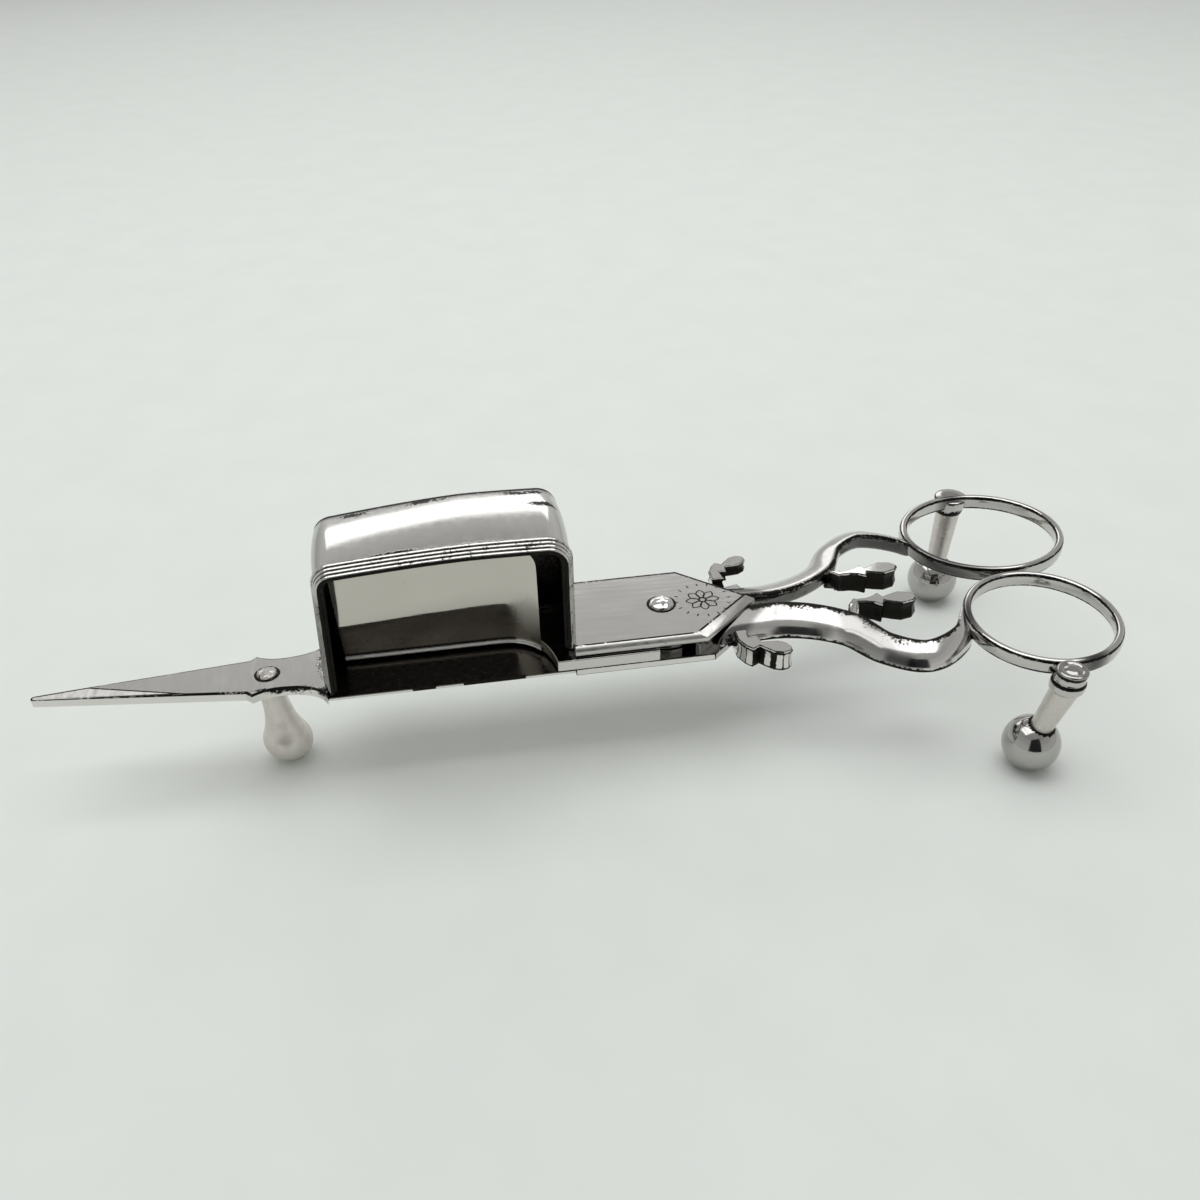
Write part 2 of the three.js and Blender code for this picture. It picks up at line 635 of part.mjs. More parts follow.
function ballFoot(arm) {
  const arc = profileArc(BALL_RADIUS, ballCentre, flatAngle(BALL_RADIUS), 90, BALL_STEPS);
  arc[0][1] = 0;
  arc[BALL_STEPS][0] = 0;
  const [x, y] = footPlace(arm);
  const ball = turned([[0, 0], ...arc]).translate(x + arm.leanX, y + arm.side * arm.leanY, 0);
  const bottom = pegEnd - SOLDER_GAP;
  const radius = PEG_TOP_RADIUS + SOLDER_GAP;
  const socket = [[0, bottom], [radius, bottom], [radius, bossBottom], [0, bossBottom]];
  return cut(ball, leaningFoot(arm, socket));
}

// Assembly

addPiece('tip_blade', tipBlade());
addPiece('tip_foot', tipFoot(), satinSilver);
addPiece('tip_foot_rivet', rivet(TIP_PIN_RADIUS, underside, bladeTop, TIP_HEAD_RADIUS,
  TIP_HEAD_RISE).translate(tipFootX, TIP_AXIS, 0));
addPiece('box_floor', boxFloor());
addPiece('box_shell', boxShell());
addPiece('box_back_panel', boxBackPanel());
addPiece('box_rim_moulding', boxRim());
addPiece('upper_fork_plate', forkPlate(plateBottom, plateTop));
addPiece('lower_fork_plate', forkPlate(underside, lowerTop));
addPiece('fork_end_wall', forkEndWall());
addPiece('pivot_rivet', rivet(PIVOT_PIN_RADIUS, underside - BURR_HEIGHT, plateTop, RIVET_HEAD_RADIUS,
  RIVET_HEAD_RISE));
addPiece('pivot_burr', pivotBurr());
addPiece('press_tongue', pressTongue());
addPiece('press_plate', pressPlate());
addPiece('front_scroll_handle', frontHandle());
addPiece('back_scroll_handle', backHandle());
for (const [end, arm] of [['front', FRONT], ['back', BACK]]) {
  addPiece(`${end}_curl`, leaf(arm, CURL));
  addPiece(`${end}_bud`, leaf(arm, BUD));
  addPiece(`${end}_finger_ring`, fingerRing(arm));
  addPiece(`${end}_foot_boss`, footBoss(arm));
  addPiece(`${end}_foot_peg`, footPeg(arm));
  addPiece(`${end}_ball_foot`, ballFoot(arm));
}

// The origin is the middle of the object's box, on the table
const extent = new THREE.Box3().setFromObject(model, true);
const middle = extent.getCenter(new THREE.Vector3());
model.position.set(-middle.x, -middle.y, 0);
model.updateMatrixWorld(true);

export default model;
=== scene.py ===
import math

import bmesh
import bpy
from bpy.props import FloatProperty, FloatVectorProperty, IntProperty, PointerProperty
from bpy.types import Operator, Panel, PropertyGroup
from mathutils import Matrix, Vector, noise


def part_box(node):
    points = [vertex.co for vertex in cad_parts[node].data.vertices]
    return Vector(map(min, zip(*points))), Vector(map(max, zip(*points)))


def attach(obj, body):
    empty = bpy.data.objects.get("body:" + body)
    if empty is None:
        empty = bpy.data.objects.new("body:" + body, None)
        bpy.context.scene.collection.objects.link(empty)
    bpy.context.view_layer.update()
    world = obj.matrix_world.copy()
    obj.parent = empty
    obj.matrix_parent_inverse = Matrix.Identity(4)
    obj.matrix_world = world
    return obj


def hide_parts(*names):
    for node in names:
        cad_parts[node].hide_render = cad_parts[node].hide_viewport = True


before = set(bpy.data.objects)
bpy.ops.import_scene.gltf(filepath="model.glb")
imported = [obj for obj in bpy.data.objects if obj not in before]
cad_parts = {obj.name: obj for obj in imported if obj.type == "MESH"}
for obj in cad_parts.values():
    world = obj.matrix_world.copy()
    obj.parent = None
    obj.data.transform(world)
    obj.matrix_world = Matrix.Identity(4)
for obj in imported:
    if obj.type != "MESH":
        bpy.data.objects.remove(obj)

bl_info = {
    "name": "Candle snuffer scissors",
    "version": (1, 0, 0),
    "blender": (4, 5, 0),
    "location": "View3D > Sidebar > Snuffer",
    "description": "Finishes the packed candle snuffer scissors in polished and satin silver",
    "category": "Object",
}

MM = 0.001
BOX_ARM, PRESS_ARM = "box_arm", "press_arm"
# The side on which each arm's handle lies, the name it begins with and its body
ARMS = ((-1, "front", BOX_ARM), (1, "back", PRESS_ARM))
POLISHED, PLAIN, SATIN = "polished_silver", "plain_silver", "satin_silver"


# Places taken from the packed frame. Pieces are drawn about the pivot, heights from the table.

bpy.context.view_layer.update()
PIVOT = sum((Vector(corner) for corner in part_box("pivot_rivet")), Vector()) / 2
PIVOT.z = 0.0


def corners(node):
    """Lowest and highest corner of a packed node, measured from the pivot."""
    return [Vector(corner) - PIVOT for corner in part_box(node)]


def middle(node):
    """Middle of a packed node's box, measured from the pivot."""
    low, high = corners(node)
    return (low + high) / 2


# Settings

def size(name, description, millimetres):
    """A length, given in millimetres."""
    return FloatProperty(name=name, description=description, default=millimetres * MM,
                         unit="LENGTH", precision=5)


def sizes(name, description, *millimetres):
    """Several lengths, given in millimetres."""
    return FloatVectorProperty(name=name, description=description, size=len(millimetres),
                               default=[value * MM for value in millimetres], unit="LENGTH", precision=5)


def share(name, description, value):
    """A share from 0 to 1."""
    return FloatProperty(name=name, description=description, default=value, min=0.0, max=1.0,
                         subtype="FACTOR")


def turn(name, description, degrees):
    """An angle, given in degrees."""
    return FloatProperty(name=name, description=description, default=math.radians(degrees),
                         subtype="ANGLE")


def colour(name, description, *rgb):
    """A colour."""
    return FloatVectorProperty(name=name, description=description, default=rgb, size=3, min=0.0,
                               max=1.0, subtype="COLOR")


class SnufferFinish(PropertyGroup):
    """Colours and shine of the silver"""
    silver: colour("Silver", "Polished silver", 0.74, 0.725, 0.70)
    satin: colour("Satin silver", "Matt silver of the pegs and the tip foot", 0.76, 0.72, 0.68)
    # Dark of tarnish, also the dark of the painted shade and painted reflections in the wear layer
    tarnish_and_shade_dark: colour("Tarnish", "Dark worn silver in hollows and along edges", 0.016, 0.015, 0.013)
    # Press plate tone, darkened as painted reflection of the shaded table in front of it
    press: colour("Press plate", "Dulled silver of the press plate", 0.58, 0.555, 0.505)
    soot: colour("Soot", "Silver inside the box, darkened by wicks", 0.085, 0.078, 0.070)
    polish: share("Polish roughness", "Roughness of the polished pieces", 0.07)
    plain: share("Plate roughness", "Roughness of the flat plates", 0.13)
    satin_roughness: share("Satin roughness", "Roughness of the satin pieces", 0.48)
    ripple: size("Ripple", "Depth of the hammered ripple in polished faces", 0.10)


class SnufferTip(PropertyGroup):
    """Pointed blade in front of the box, and its foot"""
    axis: size("Axis", "Place of the blade's middle line across the tool", -2.2)
    nose: size("Nose", "Half width at the point", 0.55)
    nose_reach: size("Nose reach", "How far the worn point stands out and back", 0.7)
    shoulder: size("Shoulder", "From the box to the shoulder notch", 14.0)
    half: size("Half width", "Half width at the shoulder", 4.4)
    step: size("Notch", "Step at the shoulder", 1.0)
    waist: size("Waist", "Half width at the rivet", 4.2)
    straight: size("Straight", "From the rivet to where the blade begins to flare", 1.9)
    flare: size("Flare", "Half width where the blade meets the box", 8.2)
    ground: size("Ground length", "From the point to the ridge, along the far edge", 9.9)
    slope: turn("Ground slope", "Slope of the ground face", 5)
    edge: size("Edge", "Width of the worn edges", 0.27)
    line: size("Worn line", "Width of the worn line inside the edges", 0.14)
    foot_reach: size("Foot reach", "From the box to the foot's rivet", 10.9)
    foot_lean: sizes("Foot lean", "How far the foot leans towards the box and back", 1.35, 0.8)
    neck: size("Neck radius", "Radius of the foot's neck", 2.15)
    ball: size("Ball radius", "Radius of the foot's ball", 4.15)
    rivet: share("Rivet size", "Rivet's visible head as a share of its packed size", 0.88)


class SnufferBox(PropertyGroup):
    """Wick box and its reeded rim"""
    corner: sizes("Corner radius", "Radius of the left and right bent corners", 2.6, 3.5)
    wall: size("Wall", "Thickness of the bent sheet", 0.8)
    crown: size("Crown", "Rise of the top between its front and back edges", 0.7)
    arch: sizes("Arch", "Rise of the top from side to side, at the rim and at the back", 0.4, 0.5)
    tilt: sizes("Tilt", "Fall of the top's left end, at the rim and at the back", 1.0, 1.8)
    spread: size("Spread", "How far the left side stands out at the back", 0.7)
    flare: size("Flare", "How far the left side stands out at the floor", 0.8)
    edge: size("Back edge", "Radius of the worn back edge", 0.45)
    floor_edge: size("Floor edge", "Thickness of the floor's front edge", 0.55)
    floor_undercut: size("Floor undercut", "How far the floor draws in under its front edge", 1.0)
    reeds: IntProperty(name="Reeds", description="Reeds round the mouth", default=4, min=1, max=6)
    reed_radius: size("Reed radius", "Radius of each reed", 0.46)
    rim: size("Rim depth", "Depth of the reeded rim from front to back", 2.9)
    lip: size("Lip", "How far the front reed stands inside the mouth", 0.75)


class SnufferFork(PropertyGroup):
    """Pointed plates over and under the pivot, and the engraving"""
    shoulder: size("Shoulder", "From the pivot to the corners of the plates", 4.6)
    wall: size("End wall", "Thickness of the strip between the plates", 1.0)
    edge: size("Edge", "Width of the softened edges", 0.16)
    chamfer: sizes("Chamfer", "Width and depth of the upper plate's sloping edge", 0.68, 0.58)
    undercut: size("Undercut", "How far the upper plate's edge draws in below", 0.42)
    line: size("Worn line", "Width of the worn line inside the sloping edge", 0.42)
    outset: sizes("Outset", "How far the near slanting edge of the upper and lower plate stands out",
                  0.8, 1.8)
    petals: IntProperty(name="Petals", description="Petals of the engraved rosette", default=8, min=3,
                        max=24)
    rosette: size("Rosette", "Radius of the petals", 2.9)
    heart: size("Heart", "Radius of the rosette's middle", 0.55)
    rays: size("Rays", "Radius of the ring of cut rays", 4.3)
    ray_length: size("Ray length", "Length of the cut rays", 0.6)
    rosette_place: size("Rosette place", "From the pivot to the rosette's middle", 7.2)
    cut: size("Cut width", "Width of the engraved lines", 0.24)


class SnufferPress(PropertyGroup):
    """Tongue between the plates, cutting bar and press plate"""
    front: size("Front", "Front face of the cutting bar before the pivot line", 0.6)
    bar_back: size("Bar back", "Back face of the cutting bar", 1.7)
    elbow: size("Elbow", "Length of the sweep into the tongue", 8.7)
    ease: size("Elbow ease", "How soon the sweep turns", 1.2)
    ledge: size("Ledge", "From the box wall to the end of the sweep", 3.0)
    tongue_front: size("Tongue front", "Front edge of the tongue", 10.3)
    tongue_back: size("Tongue back", "Back edge of the tongue", 9.6)
    set_in: size("Set in", "From the box to the tongue's back corner", 1.6)
    disc: size("Disc", "Radius of the tongue round the pivot", 7.5)
    shoulder: size("Shoulder", "From the pivot to the tongue's front corner", 2.2)
    end: size("End", "From the pivot to the tongue's slanting end", 6.4)
    corner: size("Plate corner", "Radius of the press plate's upper corners", 4.0)
    bulge: size("Plate bulge", "How far the press plate's upper part stands forward", 1.35)
    bulge_height: size("Bulge height", "Height over which the press plate comes forward", 9.7)
    spread: size("Plate spread", "How far the press plate's left edge leans out at the top", 0.8)


class SnufferHandles(PropertyGroup):
    """Bends of the scroll handles: reach from the pivot, distance from the middle line, half width"""
    root: sizes("Root", "Handle at the fork", 5.0, 5.3, 2.7)
    waist: sizes("Waist", "Handle at its waist", 21.0, 4.3, 3.1)
    rise: sizes("Rise", "Handle at the bud", 30.4, 8.7, 2.8)
    bow: sizes("Bow", "Handle where it bows out", 35.0, 15.3, 2.4)
    crest: sizes("Crest", "Handle at its widest", 41.0, 18.6, 2.4)
    neck: sizes("Neck", "Handle before the ring", 48.2, 15.0, 1.7)
    join: turn("Join", "Place on the ring where the handle ends", 200)
    join_half: size("Join half width", "Half width at the ring", 1.1)
    height: size("Height", "Height at the fork", 4.2)
    end_height: size("End height", "Height at the ring", 3.4)
    root_gap: size("Root gap", "Space between the fork plates and the handles", 0.45)


class SnufferLeaves(PropertyGroup):
    """Leaf ends on the handles: start, distance from the middle line, length, half width"""
    bud: sizes("Bud", "Leaf inside the handle", 33.6, 4.3, 10.5, 2.05)
    bud_turn: turn("Bud angle", "Turn of the bud", -3)
    front_curl: sizes("Front curl", "Leaf outside the front handle", 11.4, 10.7, 8.6, 1.85)
    back_curl: sizes("Back curl", "Leaf outside the back handle", 11.3, 10.7, 7.6, 1.7)
    curl_turn: turn("Curl angle", "Turn of the curls", -25.6)
    flute: size("Flute", "Depth of the hollow sides", 0.26)


class SnufferRings(PropertyGroup):
    """Finger rings"""
    band: size("Band", "Thickness of the ring", 1.5)
    longer: size("Longer back ring", "How far the back ring reaches further towards the handle", 1.2)
    fullness: FloatProperty(name="Fullness", description="Section from oval, 2, towards square",
                            default=2.7, min=2.0, max=8.0)


class SnufferFeet(PropertyGroup):
    """Bosses, pegs and balls under the finger rings"""
    boss: size("Boss radius", "Radius of the boss's flange", 2.8)
    peg_top: size("Peg top", "Radius of the peg under the boss", 2.3)
    peg_end: size("Peg end", "Radius of the peg at the ball", 1.9)
    ball: size("Ball radius", "Radius of the ball", 4.8)
    front_lean: sizes("Front lean", "From the front boss to its ball", -2.2, 2.3)
    back_lean: sizes("Back lean", "From the back boss to its ball", -3.0, -3.9)


class SnufferStage(PropertyGroup):
    """Table, light and camera"""
    table: colour("Table", "Pale table", 0.79, 0.822, 0.79)
    ambient: FloatProperty(name="Ambient", description="Light from all round", default=0.46, min=0.0)
    key: FloatProperty(name="Overhead light", description="Power of the overhead panel in watts",
                       default=4.1, min=0.0, subtype="POWER")
    fill: FloatProperty(name="Back light", description="Power of the panel behind the tool in watts",
                        default=1.1, min=0.0, subtype="POWER")
    camera: sizes("Camera", "Camera's place about the pivot", -34.65, -165.1, 141.03)
    down: turn("Downward tilt", "How far the camera looks down", 34.925)
    heading: turn("Heading", "Turn of the camera towards the rings", 8.284)
    roll: turn("Roll", "Roll of the camera", 1.385)
    view: turn("Field of view", "Width of the picture", 53.05)


# Meshes

def eased(value):
    """Rises smoothly from 0 to 1 as the value does."""
    value = min(max(value, 0.0), 1.0)
    return value * value * (3 - 2 * value)


def quadratic(start, control, end, steps):
    """Points of a curve that leaves its start towards the control point, without the start."""
    points = []
    for i in range(1, steps + 1):
        t = i / steps
        points.append(tuple((1 - t) ** 2 * a + 2 * t * (1 - t) * b + t * t * c
                            for a, b, c in zip(start, control, end)))
    return points


def arc(x, y, radius, start, end, steps):
    """Points of an arc between two angles in degrees."""
    angles = [math.radians(start + (end - start) * i / steps) for i in range(steps + 1)]
    return [(x + radius * math.cos(a), y + radius * math.sin(a)) for a in angles]


# Limit on how far a sharp corner is drawn in, as the cosine of half its turn
SHARPEST = 0.45


def inset(outline, depth):
    """An outline, counter-clockwise, moved inwards."""
    drawn_in = []
    for i, here in enumerate(outline):
        before, after = Vector(outline[i - 1]), Vector(outline[(i + 1) % len(outline)])
        a = (Vector(here) - before).normalized()
        b = (after - Vector(here)).normalized()
        normal = Vector((-a.y - b.y, a.x + b.x)).normalized()
        reach = depth / max(normal.dot(Vector((-a.y, a.x))), SHARPEST)
        drawn_in.append((here[0] + normal.x * reach, here[1] + normal.y * reach))
    return drawn_in


def skin(rows, caps=True):
    """Points and faces of a surface through closed rows of equal length."""
    count = len(rows[0])
    points = [Vector(point) for row in rows for point in row]
    faces = []
    for i in range(len(rows) - 1):
        for j in range(count):
            k = (j + 1) % count
            faces.append((i * count + j, i * count + k, (i + 1) * count + k, (i + 1) * count + j))
    if caps:
        faces.append(tuple(reversed(range(count))))
        faces.append(tuple(range((len(rows) - 1) * count, len(rows) * count)))
    return points, faces


def rings(outline, *levels):
    """An outline as rows, one for each pair of an inset and a height."""
    return [[(x, y, z) for x, y in (inset(outline, depth) if depth else outline)] for depth, z in levels]


def plate(outline, bottom, top):
    """A flat plate."""
    return skin(rings(outline, (0.0, bottom), (0.0, top)))


def turned(profile, place, lean=(0.0, 0.0), top=0.0, segments=72):
    """A turned piece from (radius, height) points; lean is the shift for each unit below top."""
    rows = []
    for radius, height in profile:
        x = place[0] + lean[0] * (top - height)
        y = place[1] + lean[1] * (top - height)
        rows.append([(x + radius * math.cos(a), y + radius * math.sin(a), height)
                     for a in (2 * math.pi * i / segments for i in range(segments))])
    return skin(rows, caps=False)


def turn_outwards(shape):
    """Turns the faces of each shell of a mesh outwards."""
    bmesh.ops.recalc_face_normals(shape, faces=shape.faces)
    shape.normal_update()
    waiting = set(shape.faces)
    while waiting:
        shell = [waiting.pop()]
        for face in shell:
            for other in (other for edge in face.edges for other in edge.link_faces if other in waiting):
                waiting.discard(other)
                shell.append(other)
        if sum(face.calc_area() * face.normal.dot(face.calc_center_median()) for face in shell) < 0:
            bmesh.ops.reverse_faces(shape, faces=shell)


def link(name, data):
    """A new object in the scene."""
    obj = bpy.data.objects.new(name, data)
    bpy.context.scene.collection.objects.link(obj)
    return obj


def make_object(name, points, faces, materials, face_finish=None, **layers):
    """A closed mesh about the pivot, with its doubles merged and its faces turned outwards.

    Layers give each point its wear, dark and speckled, which in some places is painted shade, or its
    painted shade, soft and grey, which stands in for shade and dark reflections. A layer is a list
    in the order of the points, or a function of a point."""
    mesh = bpy.data.meshes.new(name)
    mesh.from_pydata([Vector(point) + PIVOT for point in points], [], faces)
    for material in materials:
        mesh.materials.append(material)
    if face_finish:
        for polygon in mesh.polygons:
            polygon.material_index = face_finish(polygon)
    for layer_name, value in layers.items():
        values = [value(Vector(point)) for point in points] if callable(value) else value
        mesh.attributes.new(layer_name, "FLOAT", "POINT").data.foreach_set("value", values)
    shape = bmesh.new()
    shape.from_mesh(mesh)
    bmesh.ops.remove_doubles(shape, verts=shape.verts, dist=1e-7)
    turn_outwards(shape)
    shape.to_mesh(mesh)
    shape.free()
    return link(name, mesh)


def soften(obj, width, segments=2, limit=30, edge=None):
    """Softened edges on a hard-edged piece, in a finish of their own if one is given."""
    bevel = obj.modifiers.new("softened_edges", "BEVEL")
    if edge:
        obj.data.materials.append(edge)
        bevel.material = len(obj.data.materials) - 1
    bevel.width = width
    bevel.segments = segments
    bevel.limit_method = "ANGLE"
    bevel.angle_limit = math.radians(limit)
    bevel.harden_normals = True
    obj.data.shade_smooth()
    settle(obj)


def settle(obj):
    """Replaces an object's mesh and modifiers by the finished mesh."""
    bpy.context.view_layer.update()
    graph = bpy.context.evaluated_depsgraph_get()
    mesh = bpy.data.meshes.new_from_object(obj.evaluated_get(graph), preserve_all_data_layers=True,
                                           depsgraph=graph)
    old = obj.data
    obj.modifiers.clear()
    obj.data = mesh
    mesh.name = obj.name
    bpy.data.meshes.remove(old)


def smooth(obj, limit):
    """Smooth shading, with edges over the limit in degrees kept sharp."""
    obj.data.shade_smooth()
    obj.data.set_sharp_from_angle(angle=math.radians(limit))


def hand_over(obj, body, slot, *nodes):
    """Gives a finished piece to its body and to the packed nodes that it stands for."""
    if not obj.data.polygons:
        raise RuntimeError(f"{obj.name} has no faces")
    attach(obj, body)
    if nodes:
        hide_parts(*nodes)


# Nodes

def add(tree, kind, sockets=None, **settings):
    """Adds a node. Sockets take a value or another node's output."""
    node = tree.nodes.new(kind)
    for name, value in settings.items():
        setattr(node, name, value)
    for name, value in (sockets or {}).items():
        socket = node.inputs[name]
        if isinstance(value, bpy.types.NodeSocket):
            tree.links.new(value, socket)
        else:
            socket.default_value = value
    return node


def made(tree, kind, sockets=None, **settings):
    """First output of a new node."""
    return add(tree, kind, sockets, **settings).outputs[0]


def maths(tree, operation, a, b=0.0):
    """Output of a sum or the like of two values or outputs."""
    return made(tree, "ShaderNodeMath", {0: a, 1: b}, operation=operation)


def raised(tree, amount, extra, strength):
    """An amount with a share of another added to it."""
    return maths(tree, "ADD", amount, maths(tree, "MULTIPLY", extra, strength))


def ranged(tree, value, low, high, to_low, to_high):
    """A value moved from one range to another, and held inside it."""
    return made(tree, "ShaderNodeMapRange", {"Value": value, "From Min": low, "From Max": high,
                                             "To Min": to_low, "To Max": to_high})


def vector_of(tree, x=0.0, y=0.0, z=0.0):
    """A vector from values or outputs."""
    return made(tree, "ShaderNodeCombineXYZ", {"X": x, "Y": y, "Z": z})


def start_tree(name, inputs):
    """A geometry tree with named inputs; returns the tree and the input node's outputs."""
    tree = bpy.data.node_groups.new(name, "GeometryNodeTree")
    tree.interface.new_socket("Geometry", in_out="INPUT", socket_type="NodeSocketGeometry")
    for label, kind in inputs.items():
        tree.interface.new_socket(label, in_out="INPUT", socket_type="NodeSocket" + kind)
    tree.interface.new_socket("Material", in_out="INPUT", socket_type="NodeSocketMaterial")
    tree.interface.new_socket("Geometry", in_out="OUTPUT", socket_type="NodeSocketGeometry")
    return tree, tree.nodes.new("NodeGroupInput").outputs


def end_tree(tree, given, geometry):
    """Ends a geometry tree with its instances made real and its material set."""
    real = made(tree, "GeometryNodeRealizeInstances", {"Geometry": geometry})
    shaded = made(tree, "GeometryNodeSetShadeSmooth", {"Geometry": real})
    coated = made(tree, "GeometryNodeSetMaterial", {"Geometry": shaded, "Material": given["Material"]})
    add(tree, "NodeGroupOutput", {"Geometry": coated})
    return tree


def grow(name, points, edges, faces, tree, values):
    """Runs a geometry tree on a guide mesh and keeps the plain mesh."""
    mesh = bpy.data.meshes.new(name)
    mesh.from_pydata([Vector(point) + PIVOT for point in points], edges, faces)
    obj = link(name, mesh)
    modifier = obj.modifiers.new("made", "NODES")
    modifier.node_group = tree
    for item in tree.interface.items_tree:
        if item.in_out == "INPUT" and item.name in values:
            modifier[item.identifier] = values[item.name]
    settle(obj)
    return obj


def joined(tree, *geometries):
    """Several geometries as one."""
    join = tree.nodes.new("GeometryNodeJoinGeometry")
    for geometry in geometries:
        tree.links.new(geometry, join.inputs[0])
    return join.outputs[0]


def places(tree):
    """X, Y and Z of each point."""
    return add(tree, "ShaderNodeSeparateXYZ", {"Vector": made(tree, "GeometryNodeInputPosition")}).outputs


def stored(tree, geometry, name, value):
    """A geometry whose points keep a value under a name."""
    return made(tree, "GeometryNodeStoreNamedAttribute", {"Geometry": geometry, "Name": name,
                                                          "Value": value})


def ring_curve(tree, resolution, radius):
    """A circle as a curve."""
    return made(tree, "GeometryNodeCurvePrimitiveCircle", {"Resolution": resolution, "Radius": radius})


def moved(tree, geometry, **changes):
    """A geometry moved, turned or scaled."""
    return made(tree, "GeometryNodeTransform", {"Geometry": geometry, **changes})


def seated(tree, points, instance, **more):
    """A copy of a geometry on each point."""
    return made(tree, "GeometryNodeInstanceOnPoints", {"Points": points, "Instance": instance, **more})


def swept(tree, path, section, caps=True):
    """A section carried along a path."""
    return made(tree, "GeometryNodeCurveToMesh", {"Curve": path, "Profile Curve": section,
                                                  "Fill Caps": caps})


# Materials

# Features per metre of the noises in the silver and on the table
CLOUD, BRUSH, FLECK, BLOTCH, WAVE, TABLE_GRAIN = 130, 900, 2300, 420, 85, 60
# Tarnish that the full wear layer, which also carries painted shade, and a dark circle bring,
# and the amounts at which tarnish begins and is full
WEAR_AND_SHADE_SHARE, CIRCLE_SHARE, TARNISH_START, TARNISH_FULL = 0.55, 0.6, 0.68, 0.78
# Shares of the tone in clouds and under full painted shade, and how much of the cloud shows
CLOUDY, PAINTED_SHADE_TONE, CLOUD_SHARE = 0.75, 0.1, 0.12
# Roughness that tarnish and rubbing add
TARNISH_ROUGH, RUBBED_ROUGH = 0.32, 0.34
# Depths of the brush lines and of tarnish
BRUSH_DEPTH, PIT_DEPTH = 0.002 * MM, 0.012 * MM
# The middle part of a noise, in which most of it lies
NOISE_LOW, NOISE_HIGH = 0.3, 0.7


def new_material(name):
    """A material without nodes, and its tree."""
    material = bpy.data.materials.new(name)
    material.use_nodes = True
    material.node_tree.nodes.clear()
    return material, material.node_tree


def tint(tone, share=1.0):
    """A colour for a socket, at a share of its brightness."""
    return (*[value * share for value in tone], 1.0)


def blended(tree, factor, first, second):
    """Two colours mixed by a factor."""
    return add(tree, "ShaderNodeMix", {"Factor": factor, 6: first, 7: second}, data_type="RGBA").outputs[2]


def layer(tree, name):
    """A value that the mesh keeps for each point."""
    return add(tree, "ShaderNodeAttribute", attribute_name=name).outputs["Fac"]


def grain(tree, coords, scale, detail=3.0, stretch=None):
    """Noise with features of about 1 / scale metres, stretched along an axis for brush lines."""
    if stretch:
        coords = made(tree, "ShaderNodeMapping", {"Vector": coords, "Scale": stretch})
    return made(tree, "ShaderNodeTexNoise", {"Vector": coords, "Scale": scale, "Detail": detail})


def away_from(tree, coords, shift, scale):
    """Distance from a place, after the shift and scale that bring the place to the origin."""
    local = made(tree, "ShaderNodeMapping", {"Vector": coords, "Location": shift, "Scale": scale})
    return add(tree, "ShaderNodeVectorMath", {0: local}, operation="LENGTH").outputs["Value"]


def near(tree, coords, place, radii):
    """One at a place on the object, fading to nought at the radii."""
    place = Vector(place) + PIVOT
    scale = Vector([1 / radius for radius in radii])
    shift = Vector([-a * b for a, b in zip(place, scale)])
    return ranged(tree, away_from(tree, coords, shift, scale), 0.3, 1.0, 1.0, 0.0)


def circle(tree, coords, place, radius, width):
    """One on a circle about an upright axis, fading to nought beside it."""
    place = Vector(place) + PIVOT
    away = away_from(tree, coords, (-place.x, -place.y, 0.0), (1.0, 1.0, 0.0))
    off = maths(tree, "ABSOLUTE", maths(tree, "SUBTRACT", away, radius))
    return ranged(tree, off, 0.35 * width, width, 1.0, 0.0)


